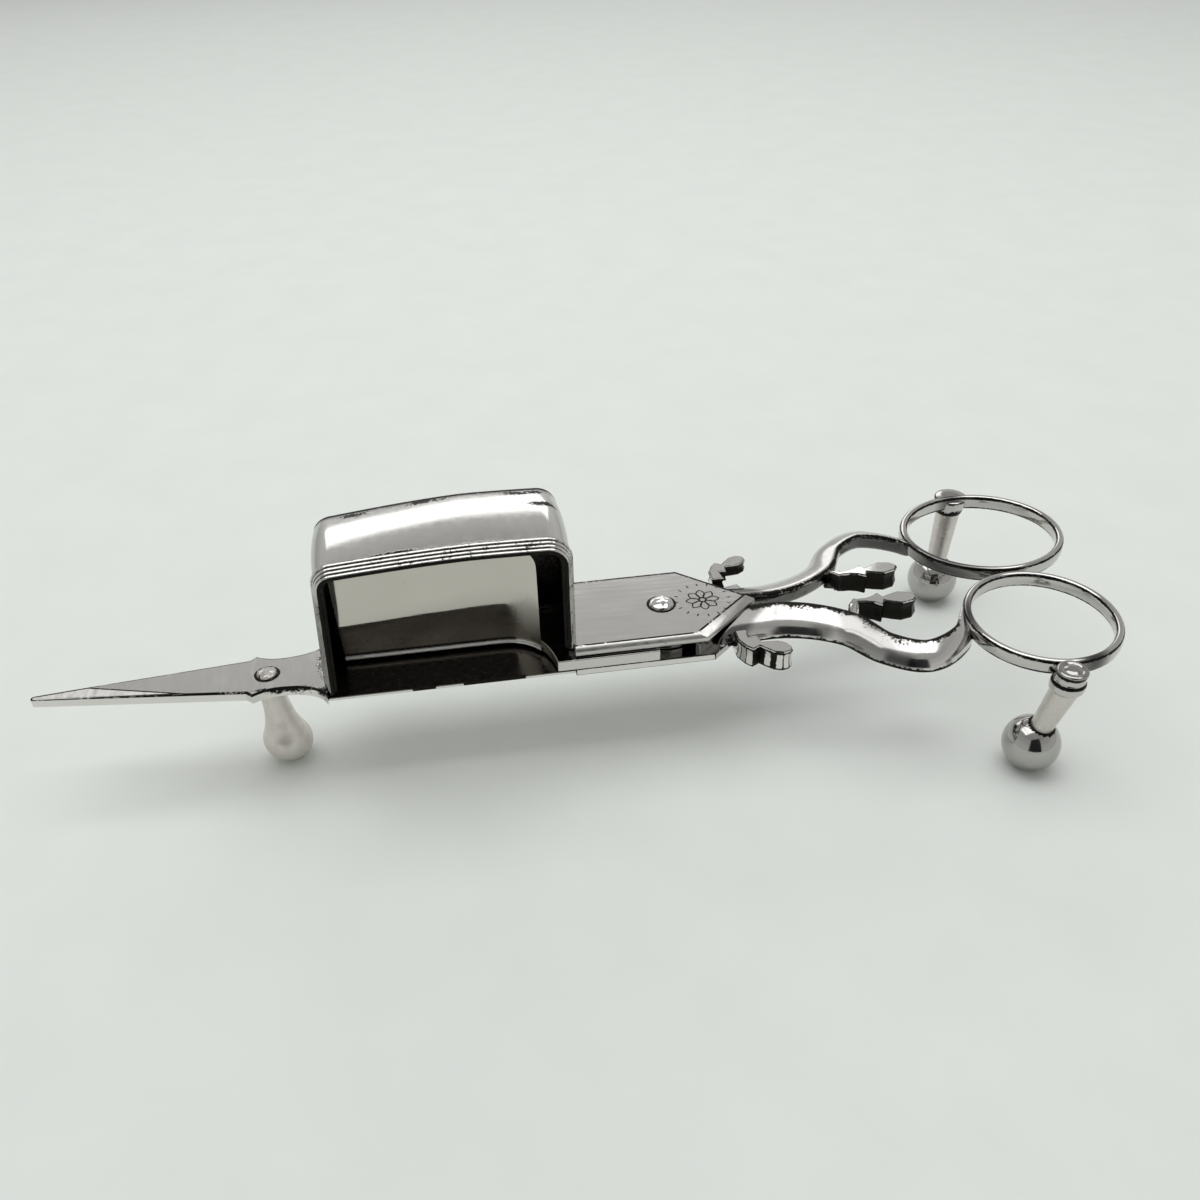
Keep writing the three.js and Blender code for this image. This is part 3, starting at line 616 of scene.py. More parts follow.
def silver(name, tone, dark, roughness, ripple, lines, speckle, spots=(), circles=(), rubbed=()):
    """Silver with a faint cloud, brush lines, ripple, tarnish at worn places, and painted shade."""
    material, tree = new_material(name)
    coords = add(tree, "ShaderNodeTexCoord").outputs["Object"]
    cloud = grain(tree, coords, CLOUD, 4.0)
    brush = grain(tree, coords, BRUSH, 3.0, lines)
    flecks = raised(tree, maths(tree, "MULTIPLY", grain(tree, coords, FLECK, 4.0), 0.5),
                    grain(tree, coords, BLOTCH, 3.0), 0.5)

    amount = maths(tree, "ADD", maths(tree, "MULTIPLY", layer(tree, "wear"), WEAR_AND_SHADE_SHARE), speckle)
    for place, radii, strength in spots:
        amount = raised(tree, amount, near(tree, coords, place, radii), strength)
    for place, radius, width in circles:
        amount = raised(tree, amount, circle(tree, coords, place, radius, width), CIRCLE_SHARE)
    # Tarnish, together with the painted shade and painted reflections that the wear layer carries
    tarnish_and_shade_mask = ranged(tree, maths(tree, "ADD", amount, flecks), TARNISH_START, TARNISH_FULL, 0.0, 1.0)

    shade = ranged(tree, cloud, NOISE_LOW, NOISE_HIGH, 0.0, CLOUD_SHARE)
    clean = blended(tree, shade, tint(tone), tint(tone, CLOUDY))
    # Painted shade: this layer greys the colour where shade and dark reflections fall
    with_painted_shade = blended(tree, layer(tree, "dull"), clean, tint(tone, PAINTED_SHADE_TONE))
    mixed = blended(tree, tarnish_and_shade_mask, with_painted_shade, tint(dark))

    rough = ranged(tree, brush, NOISE_LOW, NOISE_HIGH, roughness * 0.75, roughness * 1.3)
    rough = raised(tree, rough, tarnish_and_shade_mask, TARNISH_ROUGH)
    for place, radii in rubbed:
        rough = raised(tree, rough, near(tree, coords, place, radii), RUBBED_ROUGH)

    normal = {}
    for depth, height, inwards in ((ripple, grain(tree, coords, WAVE, 1.0), False),
                                   (BRUSH_DEPTH, brush, False), (PIT_DEPTH, tarnish_and_shade_mask, True)):
        normal["Normal"] = made(tree, "ShaderNodeBump", {"Strength": 1.0, "Distance": depth,
                                                         "Height": height, **normal}, invert=inwards)
    shader = made(tree, "ShaderNodeBsdfPrincipled", {"Base Color": mixed, "Metallic": 1.0,
                                                     "Roughness": rough, **normal})
    add(tree, "ShaderNodeOutputMaterial", {"Surface": shader})
    return material


# Stretch of the brush lines
UNBRUSHED, BRUSHED_ALONG, BRUSHED_ACROSS = (1.0, 1.0, 1.0), (0.15, 2.0, 1.0), (2.0, 0.3, 1.0)
BRUSHED = {"plain": BRUSHED_ALONG, "fork_plate": BRUSHED_ALONG, "press": (0.3, 1.0, 2.0),
           "blade": BRUSHED_ACROSS, "ground": BRUSHED_ACROSS}
# Tarnish all over a finish
SPECKLE = {"satin": -0.02, "peg": -0.1, "hammered": 0.14, "sooted": 0.10, "box_floor": 0.08,
           "sloped": 0.05, "worn_edge": 0.33}
# Tarnished spots along the edges of the box top, in millimetres from its left end: place and reach
SHEET_SPOTS = ((6, 7.6, 7), (18, 8.0, 9), (33, 7.6, 8), (37, 3, 4), (12, -7.0, 9), (26, -7.2, 10))
# Tarnished spots on the tip blade, in millimetres from the box and its axis: place and radii
BLADE_SPOTS = ((2.0, -6.5, 3.5, 3.0), (1.8, 0.5, 2.2, 4.0), (3.3, 5.0, 4.0, 1.0), (6.3, -4.6, 4.5, 1.1),
               (10.3, -4.2, 4.5, 0.9))


def worn_places(key):
    """Tarnished spots, dark circles and rubbed patches of a finish."""
    low, high = corners("box_shell")
    if key == "box_sheet":
        return {"spots": [((low.x + x * MM, y * MM, high.z), (reach * MM, 1.5 * MM, 3 * MM), 0.30)
                          for x, y, reach in SHEET_SPOTS]}
    if key == "blade":
        tip = bpy.context.scene.snuffer_tip
        top = corners("tip_blade")[1].z
        spots = [((low.x - x * MM, tip.axis + y * MM, top), (along * MM, across * MM, 2 * MM), 0.25)
                 for x, y, along, across in BLADE_SPOTS]
        return {"spots": spots, "circles": [((low.x - tip.foot_reach, tip.axis, 0), 1.9 * MM, 0.32 * MM)]}
    if key == "fork_plate":
        return {"circles": [((0, 0, 0), 2.3 * MM, 0.34 * MM)]}
    if key == "press":
        low, high = corners("press_plate")
        place = (high.x - 1.0 * MM, low.y - 1.5 * MM, low.z + 4.0 * MM)
        return {"rubbed": [(place, (4.5 * MM, 6 * MM, 7.5 * MM))]}
    return {}


def finish(key):
    """The named finish, made when it is first asked for."""
    known = bpy.data.materials.get(key)
    if known:
        return known
    look = bpy.context.scene.snuffer_finish
    shine, plain, matt = look.polish, look.plain, look.satin_roughness
    # Tone, roughness and share of the ripple
    looks = {
        "polished": (look.silver, shine, 1.0),
        "box_sheet": (look.silver, shine * 2.0, 1.3),
        "plain": (look.silver, plain, 0.4),
        # Darker press tone: painted reflection of the shaded table
        "press": (look.press, plain * 0.5, 0.8),
        "fork_plate": (look.silver, plain, 0.25),
        "blade": (look.silver, plain, 0.3),
        "satin": (look.satin, matt, 0.6),
        "peg": (look.satin * 0.86, matt * 0.65, 1.0),
        "hammered": (look.satin * 0.62, matt * 0.8, 2.0),
        "sooted": (look.soot, 0.24, 1.5),
        "box_floor": (look.soot * 2.6, 0.22, 2.2),
        "rim": (look.silver * 0.9, shine * 1.5, 0.8),
        "handle": (look.silver * 0.9, shine * 2.2, 2.6),
        "ground": (look.silver * 1.05, 0.36, 0.3),
        "sloped": (look.silver * 0.8, 0.36, 0.4),
        # Darker ball tone: painted reflection of the shaded table under the balls
        "ball": (look.silver * 0.62, shine * 1.6, 2.2),
        "ring": (look.silver * 0.77, shine * 1.4, 2.0),
        # Brighter silver on the press plate's bead and edges: a painted highlight over their real
        # reflections
        "bright_edge": (look.silver * 1.2, 0.34, 0.3),
        "worn_edge": (look.silver, plain, 0.3),
        "cut_line": (look.tarnish_and_shade_dark, 0.35, 0.2),
    }
    tone, roughness, waves = looks[key]
    dark = {"sooted": look.soot * 0.35, "box_floor": look.soot * 0.5}.get(key, look.tarnish_and_shade_dark)
    return silver(key, tone, dark, roughness, look.ripple * waves, BRUSHED.get(key, UNBRUSHED),
                  SPECKLE.get(key, 0.0), **worn_places(key))


# Pieces

def make_piece(node, body, slot, shape, keys, face_finish=None, limit=35, soft=None, **layers):
    """The finished piece of a packed node, smoothed or with softened edges, and handed over."""
    obj = make_object("finished_" + node, *shape, [finish(key) for key in keys], face_finish, **layers)
    if soft:
        soften(obj, **soft)
    else:
        smooth(obj, limit)
    hand_over(obj, body, slot, node)


# How far a ball is cut off where it stands
FOOT_FLAT = 0.25 * MM
# Collar of the tip foot: out from the neck and down from the blade, in millimetres
FOOT_COLLAR = ((0.0, 1.2), (0.15, 0.4), (0.4, 0.0))
# How far along the near edge of the point its ground face ends
GROUND_END = 0.8


class SNUFFER_OT_tip(Operator):
    """Make the pointed tip blade and its turned foot"""
    bl_idname = "snuffer.tip"
    bl_label = "Tip blade and foot"

    def execute(self, context):
        s = context.scene.snuffer_tip
        box = corners("box_shell")[0].x
        self.blade(s, box, box - context.scene.snuffer_box.flare)
        self.foot(s, (box - s.foot_reach, s.axis))
        return {"FINISHED"}

    def blade(self, s, box, wall):
        """Flat blade with worn edges, from its point to the flare at the box."""
        low, high = corners("tip_blade")
        point, shoulder = low.x, box - s.shoulder
        near_edge = [(shoulder, s.axis - s.half), (shoulder + s.step, s.axis - s.half - s.step)]
        near_edge += quadratic(near_edge[-1], (shoulder + 3 * s.step, s.axis - s.waist),
                               (box - s.foot_reach + s.straight, s.axis - s.waist), 24)
        near_edge += quadratic(near_edge[-1], (box - 2 * s.step, s.axis - s.waist),
                               (wall, s.axis - s.flare), 32)
        far_edge = [(x, 2 * s.axis - y) for x, y in reversed(near_edge)]
        nose = arc(point - s.nose_reach + s.nose, s.axis + s.nose_reach, s.nose, 100, 260, 16)
        outline = near_edge + far_edge + nose
        points, faces = skin(rings(outline, (0.0, low.z), (0.0, high.z - s.edge), (s.edge, high.z),
                                   (s.edge + s.line, high.z)))
        worn = range(len(outline), 3 * len(outline))
        blade = make_object("finished_tip_blade", points, faces,
                            [finish("blade"), finish("ground"), finish("worn_edge")],
                            lambda polygon: 2 if polygon.index in worn else 0)
        self.grind(blade, s, point, shoulder, high.z)
        smooth(blade, 2)
        hand_over(blade, BOX_ARM, PLAIN, "tip_blade")

    def grind(self, blade, s, point, shoulder, top):
        """Grinds the near side of the point down from a ridge across the top face."""
        length = shoulder - point
        start = Vector((point + s.ground, s.axis + s.half * s.ground / length, top))
        end = Vector((point + GROUND_END * length, s.axis - GROUND_END * s.half, top))
        along = (end - start).normalized()
        normal = Matrix.Rotation(s.slope, 3, along) @ Vector((0, 0, 1))
        shape = bmesh.new()
        shape.from_mesh(blade.data)
        everything = shape.verts[:] + shape.edges[:] + shape.faces[:]
        cut = bmesh.ops.bisect_plane(shape, geom=everything, plane_co=start + PIVOT, plane_no=normal,
                                     clear_outer=True)
        edges = [item for item in cut["geom_cut"] if isinstance(item, bmesh.types.BMEdge)]
        ground = bmesh.ops.edgeloop_fill(shape, edges=edges)["faces"]
        worn = bmesh.ops.inset_individual(shape, faces=ground, thickness=s.edge, use_even_offset=True)
        for faces, index in ((ground, 1), (worn["faces"], 2)):
            for face in faces:
                face.material_index = index
        bmesh.ops.recalc_face_normals(shape, faces=shape.faces)
        shape.to_mesh(blade.data)
        shape.free()

    def foot(self, s, place):
        """Turned foot: a ball, a neck and a collar under the blade."""
        top = corners("tip_foot")[1].z
        centre = s.ball - FOOT_FLAT
        profile = [(0.0, 0.0)] + [(r, max(z, 0.0)) for r, z in arc(0, centre, s.ball, -71, 30, 26)]
        profile += quadratic(profile[-1], (s.neck + 0.25 * MM, centre + 4.6 * MM),
                             (s.neck, top - 4.0 * MM), 14)
        profile += [(s.neck + out * MM, top - down * MM) for out, down in FOOT_COLLAR]
        profile.append((0.0, top))
        foot = turned(profile, place, [value / top for value in s.foot_lean], top)
        make_piece("tip_foot", BOX_ARM, SATIN, foot, ["satin"])


# Rivets: finish, the plate they sit on, how flat and how dented their heads are
RIVETS = {"pivot_rivet": ("polished", "upper_fork_plate", 0.0, 0.10),
          "tip_foot_rivet": ("hammered", "tip_blade", 0.6, 0.42)}
# Edge of a rivet's head, in shares of its radius and rise, and the dome above it
RIVET_EDGE = ((0.88, 0.0), (0.90, 0.12), (0.98, 0.16), (1.0, 0.3))
DOME_START, DOME_RISE, DOME_STEPS = 0.3, 0.66, 14
# Where a rivet's dents begin, in shares of its rise, and dents per metre
DENT_START, DENTS = 0.35, 1500
# Radius of a pin or bore in shares of the head's
PIN_SHARE = 0.6


class SNUFFER_OT_rivets(Operator):
    """Make the pivot rivet, its washer and the rivet of the tip foot"""
    bl_idname = "snuffer.rivets"
    bl_label = "Rivets"

    def execute(self, context):
        for node, (key, seat, flat, dents) in RIVETS.items():
            low, high = corners(node)
            head = (high.x - low.x) / 2
            if node == "tip_foot_rivet":
                head *= context.scene.snuffer_tip.rivet
            pin = head * PIN_SHARE
            face = corners(seat)[1].z
            rise = high.z - face
            profile = [(0.0, low.z), (pin, low.z), (pin, face)]
            profile += [(head * out, face + rise * up) for out, up in RIVET_EDGE]
            for i in range(1, DOME_STEPS + 1):
                a = math.radians(90 * i / DOME_STEPS)
                dome = math.sin(a)
                level = dome * (1 - flat) + flat * min(1.0, 1.6 * dome)
                profile.append((head * math.cos(a), face + rise * (DOME_START + DOME_RISE * level)))
            points, faces = turned(profile, middle(node), segments=64)
            for point in points:
                if point.z > face + rise * DENT_START:
                    point.z += dents * rise * noise.noise(point * DENTS)
            make_piece(node, BOX_ARM, POLISHED, (points, faces), [key])
        self.washer()
        return {"FINISHED"}

    def washer(self):
        """Washer under the lower plate, with a rounded lower edge."""
        low, high = corners("pivot_burr")
        radius, edge = (high.x - low.x) / 2, (high.z - low.z) / 2
        bore = radius * PIN_SHARE
        profile = [(bore, low.z)] + [(radius - edge + r, low.z + edge + z)
                                     for r, z in arc(0, 0, edge, -90, 0, 8)]
        profile += [(radius, high.z), (bore, high.z), (bore, low.z)]
        make_piece("pivot_burr", BOX_ARM, POLISHED, turned(profile, (0, 0)), ["polished"])


# Steps of the bent sheet from front to back, round a corner, over the top and up a side
SHELL_STEPS, CORNER_STEPS, TOP_STEPS, SIDE_STEPS = 16, 14, 16, 6
# Share of the top's width over which its left end falls
FALL_WIDTH = 0.62


def shell_path(s, left, right, top, left_foot, right_foot, out, back):
    """Section of the box: up the left side, over the arched top and down the right.

    Out is the offset of the sheet's face; back goes from 0 at the rim to 1 at the back edge."""
    arch, tilt = (a + (b - a) * back for a, b in (s.arch, s.tilt))
    first, last = s.corner
    side = top - first
    path = [(left - out, left_foot + (side - left_foot) * i / SIDE_STEPS) for i in range(SIDE_STEPS)]
    path += arc(left + first, side, first + out, 180, 90, CORNER_STEPS)
    width = right - left - first - last
    path += [(left + first + width * i / TOP_STEPS, top + out) for i in range(1, TOP_STEPS)]
    side = top - last
    path += arc(right - last, side, last + out, 90, 0, CORNER_STEPS)
    path += [(right + out, side + (right_foot - side) * i / SIDE_STEPS) for i in range(1, SIDE_STEPS + 1)]
    shaped = []
    for x, z in path:
        q = min(max((x - left) / (right - left), 0.0), 1.0)
        up = (z - left_foot) / (top - left_foot)
        fall = tilt * up * max(0.0, 1 - q / FALL_WIDTH) ** 1.2
        lean = (s.spread * back * up + s.flare * (1 - up)) * max(0.0, 1 - 4 * q) ** 2
        shaped.append((x - lean, z + arch * 4 * q * (1 - q) - fall))
    return shaped


# Painted dark reflections on lengths of the floor's front edge, in shares of its width, the share
# over which they begin and end, and their darkness
FLOOR_REFLECTIONS, FLOOR_REFLECTION_FADE, FLOOR_REFLECTION_DARKNESS = ((0.33, 0.42), (0.535, 0.785)), 0.012, 1.1
# Width of the floor's border and of its softened edges
FLOOR_BORDER, FLOOR_SOFT = 0.6 * MM, 0.15 * MM
# Rounding of the back edge: forwards and inwards, in shares of its radius
BACK_ROUNDING = ((1.0, 0.0), (0.62, 0.08), (0.3, 0.3), (0.08, 0.62))


class SNUFFER_OT_box(Operator):
    """Make the floor, the bent shell and the back of the wick box"""
    bl_idname = "snuffer.box"
    bl_label = "Wick box"

    def execute(self, context):
        s = context.scene.snuffer_box
        self.floor(s)
        self.shell(s)
        self.back(s)
        return {"FINISHED"}

    def floor(self, s):
        """Floor with a thin front edge, undercut below it, and painted dark reflections along that edge."""
        low, high = corners("box_floor")
        left = low.x - s.flare
        front = [(0.0, 0.0)]
        for start, stop in FLOOR_REFLECTIONS:
            front += [(start, 0.0), (start + FLOOR_REFLECTION_FADE, FLOOR_REFLECTION_DARKNESS)]
            front += [(stop, FLOOR_REFLECTION_DARKNESS), (stop + FLOOR_REFLECTION_FADE, 0.0)]
        front.append((1.0, 0.0))
        outline = [(left + (high.x - left) * x, low.y) for x, wear in front]
        outline += [(high.x, high.y), (left, high.y)]
        edge = [wear for x, wear in front] + [0.0, 0.0]
        clean = [0.0] * len(edge)
        rows = rings(outline, (FLOOR_BORDER, low.z), (0.0, low.z), (0.0, high.z), (FLOOR_BORDER, high.z))
        thin = len(front)
        rows[0][:thin] = [(x, y + s.floor_undercut, z) for x, y, z in rows[0][:thin]]
        rows[1][:thin] = [(x, y, high.z - s.floor_edge) for x, y, z in rows[1][:thin]]
        make_piece("box_floor", BOX_ARM, POLISHED, skin(rows), ["polished", "box_floor"],
                   lambda polygon: int(polygon.normal.z > 0.5), soft={"width": FLOOR_SOFT},
                   wear=clean + edge + edge + clean)

    def shell(self, s):
        """Bent sheet with a crowned top, sooted inside, with painted shade at its back edge and corners."""
        low, high = corners("box_shell")
        right_foot = corners("upper_fork_plate")[0].z
        rows = []
        for i in range(SHELL_STEPS + 1):
            v = 2 * i / SHELL_STEPS - 1
            outer, inner = (shell_path(s, low.x, high.x, high.z, low.z, right_foot, out, i / SHELL_STEPS)
                            for out in (0.0, -s.wall))
            y = low.y + (high.y - low.y) * (v + 1) / 2
            row = []
            for j, (x, z) in enumerate(outer):
                swell = s.crown * (1 - v * v) * math.sin(math.pi * j / (len(outer) - 1)) ** 0.6
                flat = Vector((inner[j][0] - x, inner[j][1] - z)).normalized()
                row.append((x - flat.x * swell, y, z - flat.y * swell))
            row += [(x, y, z) for x, z in reversed(inner)]
            rows.append(row)
        count, across = len(outer), len(rows[0])
        sooted = {i for i in range(SHELL_STEPS * across) if count <= i % across < across - 1}

        def dull(p):
            """Painted shade: grey along the back edge and at the left and right corners, for dark
            reflections.
            """
            return max(0.75 if p.y > high.y - 0.6 * MM else 0.0,
                       0.42 * eased((low.x + 1.9 * MM - p.x) / (1.4 * MM)),
                       0.4 * eased((p.x - high.x + 2.2 * MM) / (2 * MM)))

        make_piece("box_shell", BOX_ARM, POLISHED, skin(rows), ["box_sheet", "sooted"],
                   lambda polygon: int(polygon.index in sooted), limit=40, dull=dull)

    def back(self, s):
        """Back of the box with a rounded, worn edge."""
        low, high = corners("box_back_panel")
        path = shell_path(s, low.x, high.x, high.z, low.z, low.z, 0.0, 1.0)[::-1]
        levels = [(low.y, s.wall, 0.0), (low.y, 0.0, 0.5)]
        levels += [(high.y - s.edge * back, s.edge * depth, 0.75) for back, depth in BACK_ROUNDING]
        levels += [(high.y, s.edge, 0.5), (high.y, 1.9 * s.edge, 0.0)]
        rows, wear = [], []
        for y, depth, worn in levels:
            rows.append([(x, y, z) for x, z in (inset(path, depth) if depth else path)])
            wear += [worn] * len(path)
        points, faces = skin(rows)
        front = len(faces) - 2
        make_piece("box_back_panel", BOX_ARM, POLISHED, (points, faces), ["box_sheet", "sooted"],
                   lambda polygon: int(polygon.index == front), limit=50, wear=wear)


# Wear on a reed's crown and in the hollows between reeds, and where it changes, in shares of the radius
CROWN_WEAR, HOLLOW_WEAR, HOLLOW_START, HOLLOW_FULL = 0.24, 1.1, 0.55, 0.8
# Share of painted shade on the rim's left leg at its foot
LEG_PAINTED_SHADE = 0.6


def reed_tree():
    """Reeds and band, carried along the guide round the box's mouth, with painted shade on the legs."""
    tree, given = start_tree("reeded_rim", {
        "Reeds": "Int", "Reed radius": "Float", "Pitch": "Float", "Step": "Float", "First reed": "Float",
        "Height": "Float", "Band width": "Float", "Band depth": "Float", "Band middle": "Vector",
        "Slope": "Float", "Leg foot": "Float", "Leg top": "Float", "Left": "Float", "Right": "Float"})
    path = made(tree, "GeometryNodeMeshToCurve", {"Mesh": given["Geometry"]})
    path = made(tree, "GeometryNodeSetCurveNormal", {"Curve": path, "Normal": (0, 1, 0)}, mode="FREE")
    seats = made(tree, "GeometryNodeMeshLine", {
        "Count": given["Reeds"], "Start Location": vector_of(tree, given["First reed"], given["Height"]),
        "Offset": vector_of(tree, given["Pitch"], given["Step"])})
    across = places(tree)
    along = maths(tree, "ADD",
                  maths(tree, "MULTIPLY", across["X"], maths(tree, "COSINE", given["Slope"])),
                  maths(tree, "MULTIPLY", across["Y"], maths(tree, "SINE", given["Slope"])))
    off = maths(tree, "DIVIDE", maths(tree, "ABSOLUTE", along), given["Reed radius"])
    hollow = ranged(tree, off, HOLLOW_START, HOLLOW_FULL, CROWN_WEAR, HOLLOW_WEAR)
    reed = stored(tree, ring_curve(tree, 20, given["Reed radius"]), "wear", hollow)
    reeds = made(tree, "GeometryNodeRealizeInstances", {"Geometry": seated(tree, seats, reed)})
    place = places(tree)
    legs = maths(tree, "MULTIPLY",
                 ranged(tree, place["Z"], given["Leg foot"], given["Leg top"], LEG_PAINTED_SHADE, 0.0),
                 ranged(tree, place["X"], given["Left"], given["Right"], 1.0, 0.0))
    tubes = stored(tree, swept(tree, path, reeds), "dull", legs)
    band = made(tree, "GeometryNodeCurvePrimitiveQuadrilateral", {"Width": given["Band width"],
                                                                  "Height": given["Band depth"]})
    band = moved(tree, band, Translation=given["Band middle"],
                 Rotation=vector_of(tree, 0.0, 0.0, given["Slope"]))
    strip = stored(tree, swept(tree, path, band), "wear", HOLLOW_WEAR)
    return end_tree(tree, given, joined(tree, tubes, strip))


# Thickness of the band behind the reeds and how far it lies under them
BAND_DEPTH, BAND_UNDER = 0.75 * MM, 0.12 * MM
# Where the painted shade on the rim's legs is full and where it ends, below its top
LEG_FOOT, LEG_TOP = 9 * MM, 2 * MM


class SNUFFER_OT_rim(Operator):
    """Make the reeded rim round the mouth of the box"""
    bl_idname = "snuffer.rim"
    bl_label = "Reeded rim"

    def execute(self, context):
        s = context.scene.snuffer_box
        low, high = corners("box_rim_moulding")
        shell_low, shell_high = corners("box_shell")
        right_foot = corners("upper_fork_plate")[1].z
        path = shell_path(s, shell_low.x, shell_high.x, shell_high.z, low.z, right_foot, 0.0, 0.0)
        y = low.y + s.rim / 2
        width = s.rim - 2 * s.reed_radius
        gaps = max(s.reeds - 1, 1)
        pitch = width / gaps
        proud = high.z - shell_high.z - s.reed_radius
        step = (proud + s.lip) / gaps
        slope = math.atan2(step, pitch)
        under = BAND_UNDER + BAND_DEPTH / 2
        points = [(x, y, z) for x, z in path]
        edges = [(i, i + 1) for i in range(len(points) - 1)]
        rim = grow("finished_box_rim_moulding", points, edges, [], reed_tree(), {
            "Reeds": s.reeds, "Reed radius": s.reed_radius, "Pitch": pitch, "Step": step,
            "First reed": -gaps * pitch / 2, "Height": -s.lip, "Band width": width / math.cos(slope),
            "Band depth": BAND_DEPTH, "Slope": slope,
            "Band middle": (under * math.sin(slope), (proud - s.lip) / 2 - under * math.cos(slope), 0.0),
            "Leg foot": high.z - LEG_FOOT, "Leg top": high.z - LEG_TOP, "Left": low.x + PIVOT.x,
            "Right": high.x + PIVOT.x, "Material": finish("rim")})
        smooth(rim, 50)
        hand_over(rim, BOX_ARM, POLISHED, "box_rim_moulding")
        return {"FINISHED"}


def fork_outline(s):
    """Pointed outline of the fork plates, and the way their far slanting edge faces."""
    low, high = corners("upper_fork_plate")
    half, point = (high.y - low.y) / 2, high.x
    normal = Vector((half, point - s.shoulder)).normalized()
    return [(low.x, -half), (s.shoulder, -half), (point, 0.0), (s.shoulder, half), (low.x, half)], normal


# Width of the end wall's softened edges, and its painted shade, for the shaded notch between the plates
WALL_SOFT, WALL_PAINTED_SHADE = 0.12 * MM, 0.8


class SNUFFER_OT_fork(Operator):
    """Make the two pointed fork plates and the wall between them"""
    bl_idname = "snuffer.fork"
    bl_label = "Fork plates"

    def execute(self, context):
        s = context.scene.snuffer_fork
        outline, normal = fork_outline(s)
        low, high = corners("lower_fork_plate")
        lower = plate(self.set_out(outline, s.outset[1]), low.z, high.z)
        make_piece("lower_fork_plate", BOX_ARM, POLISHED, lower, ["plain"],
                   soft={"width": s.edge, "segments": 3, "edge": finish("worn_edge")})

        low, high = corners("upper_fork_plate")
        upper = skin(self.sloping_rows(s, outline, low, high))
        count = len(outline)
        make_piece("upper_fork_plate", BOX_ARM, PLAIN, upper, ["fork_plate", "worn_edge", "sloped"],
                   lambda polygon: (1, 2, 2, 1, 0)[min(polygon.index // count, 4)],
                   soft={"width": s.edge, "limit": 50})

        low, high = corners("fork_end_wall")
        corner, point = Vector(outline[1]), Vector(outline[2])
        back = Vector((-normal.x, normal.y)) * s.wall
        end = point - (point - corner).normalized() * 1.6 * s.wall
        wall = plate([corner, end, end + back, corner + back], low.z, high.z)
        make_piece("fork_end_wall", BOX_ARM, POLISHED, wall, ["plain"], soft={"width": WALL_SOFT},
                   dull=lambda p: WALL_PAINTED_SHADE)
        return {"FINISHED"}

    def set_out(self, outline, reach):
        """The outline with its near slanting edge further out."""
        slant = Vector(outline[2]) - Vector(outline[1])
        out = Vector((slant.y, -slant.x)).normalized() * reach
        far = Vector(outline[3]) - Vector(outline[2])
        shift = far * (slant.cross(out) / slant.cross(far))
        full = list(outline)
        full[1] = (outline[1][0] + reach / slant.normalized().y, outline[1][1])
        full[2] = (outline[2][0] + shift.x, outline[2][1] + shift.y)
        return full

    def sloping_rows(self, s, outline, low, high):
        """Rows up the upper plate: its undercut, its side, its sloping edge and a worn line."""
        full = self.set_out(outline, s.outset[0])
        rows = []
        for ring, depth, z in ((full, s.undercut, low.z), (full, 0.0, low.z + s.undercut),
                               (full, 0.0, high.z - s.chamfer[1]), (outline, s.chamfer[0], high.z),
                               (outline, s.chamfer[0] + s.line, high.z)):
            ring = inset(ring, depth)
            ring[0], ring[4] = (low.x, ring[0][1]), (low.x, ring[4][1])
            rows.append([(x, y, z) for x, y in ring])
        return rows


def rosette_tree():
    """Petals and rays cut round a point, as fine dark lines."""
    tree, given = start_tree("cut_rosette", {
        "Petals": "Int", "Petal length": "Float", "Heart": "Float", "Spread": "Float",
        "Ray radius": "Float", "Ray length": "Float", "Line": "Float", "Rise": "Float"})
    begin = vector_of(tree, given["Heart"])
    end = vector_of(tree, given["Petal length"])
    bulge = maths(tree, "MULTIPLY", given["Petal length"], 0.62)
    sides = []
    for sign in (1.0, -1.0):
        side = vector_of(tree, bulge, maths(tree, "MULTIPLY", given["Spread"], sign))
        sides.append(made(tree, "GeometryNodeCurveQuadraticBezier", {
            "Resolution": 12, "Start": begin, "Middle": side, "End": end}))
    petal = joined(tree, *sides)
    ray = made(tree, "GeometryNodeCurvePrimitiveLine", {"End": vector_of(tree, given["Ray length"])})
    lines = []
    for count, radius, mark in ((given["Petals"], 1e-6, petal),
                                (maths(tree, "MULTIPLY", given["Petals"], 2.0), given["Ray radius"], ray)):
        seats = made(tree, "GeometryNodeMeshCircle", {"Vertices": count, "Radius": radius})
        outward = made(tree, "GeometryNodeInputPosition")
        facing = made(tree, "FunctionNodeAlignRotationToVector", {"Vector": outward}, axis="X",
                      pivot_axis="Z")
        lines.append(seated(tree, seats, mark, Rotation=facing))
    every = made(tree, "GeometryNodeRealizeInstances", {
        "Geometry": joined(tree, *lines, ring_curve(tree, 32, given["Heart"]))})
    upright = made(tree, "GeometryNodeSetCurveNormal", {"Curve": every}, mode="Z_UP")
    nib = moved(tree, ring_curve(tree, 8, 0.5), Scale=vector_of(tree, given["Line"], given["Rise"], 1.0))
    return end_tree(tree, given, seated(tree, given["Geometry"], swept(tree, upright, nib)))


class SNUFFER_OT_engraving(Operator):
    """Cut a small rosette on the upper fork plate"""
    bl_idname = "snuffer.engraving"
    bl_label = "Engraved rosette"

    def execute(self, context):
        s = context.scene.snuffer_fork
        top = corners("upper_fork_plate")[1].z
        rosette = grow("engraved_rosette", [(s.rosette_place, 0.0, top)], [], [], rosette_tree(), {
            "Petals": s.petals, "Petal length": s.rosette, "Heart": s.heart, "Spread": s.rosette * 0.5,
            "Ray radius": s.rays, "Ray length": s.ray_length, "Line": s.cut, "Rise": 0.04 * MM,
            "Material": finish("cut_line")})
        hand_over(rosette, BOX_ARM, PLAIN)
        return {"FINISHED"}


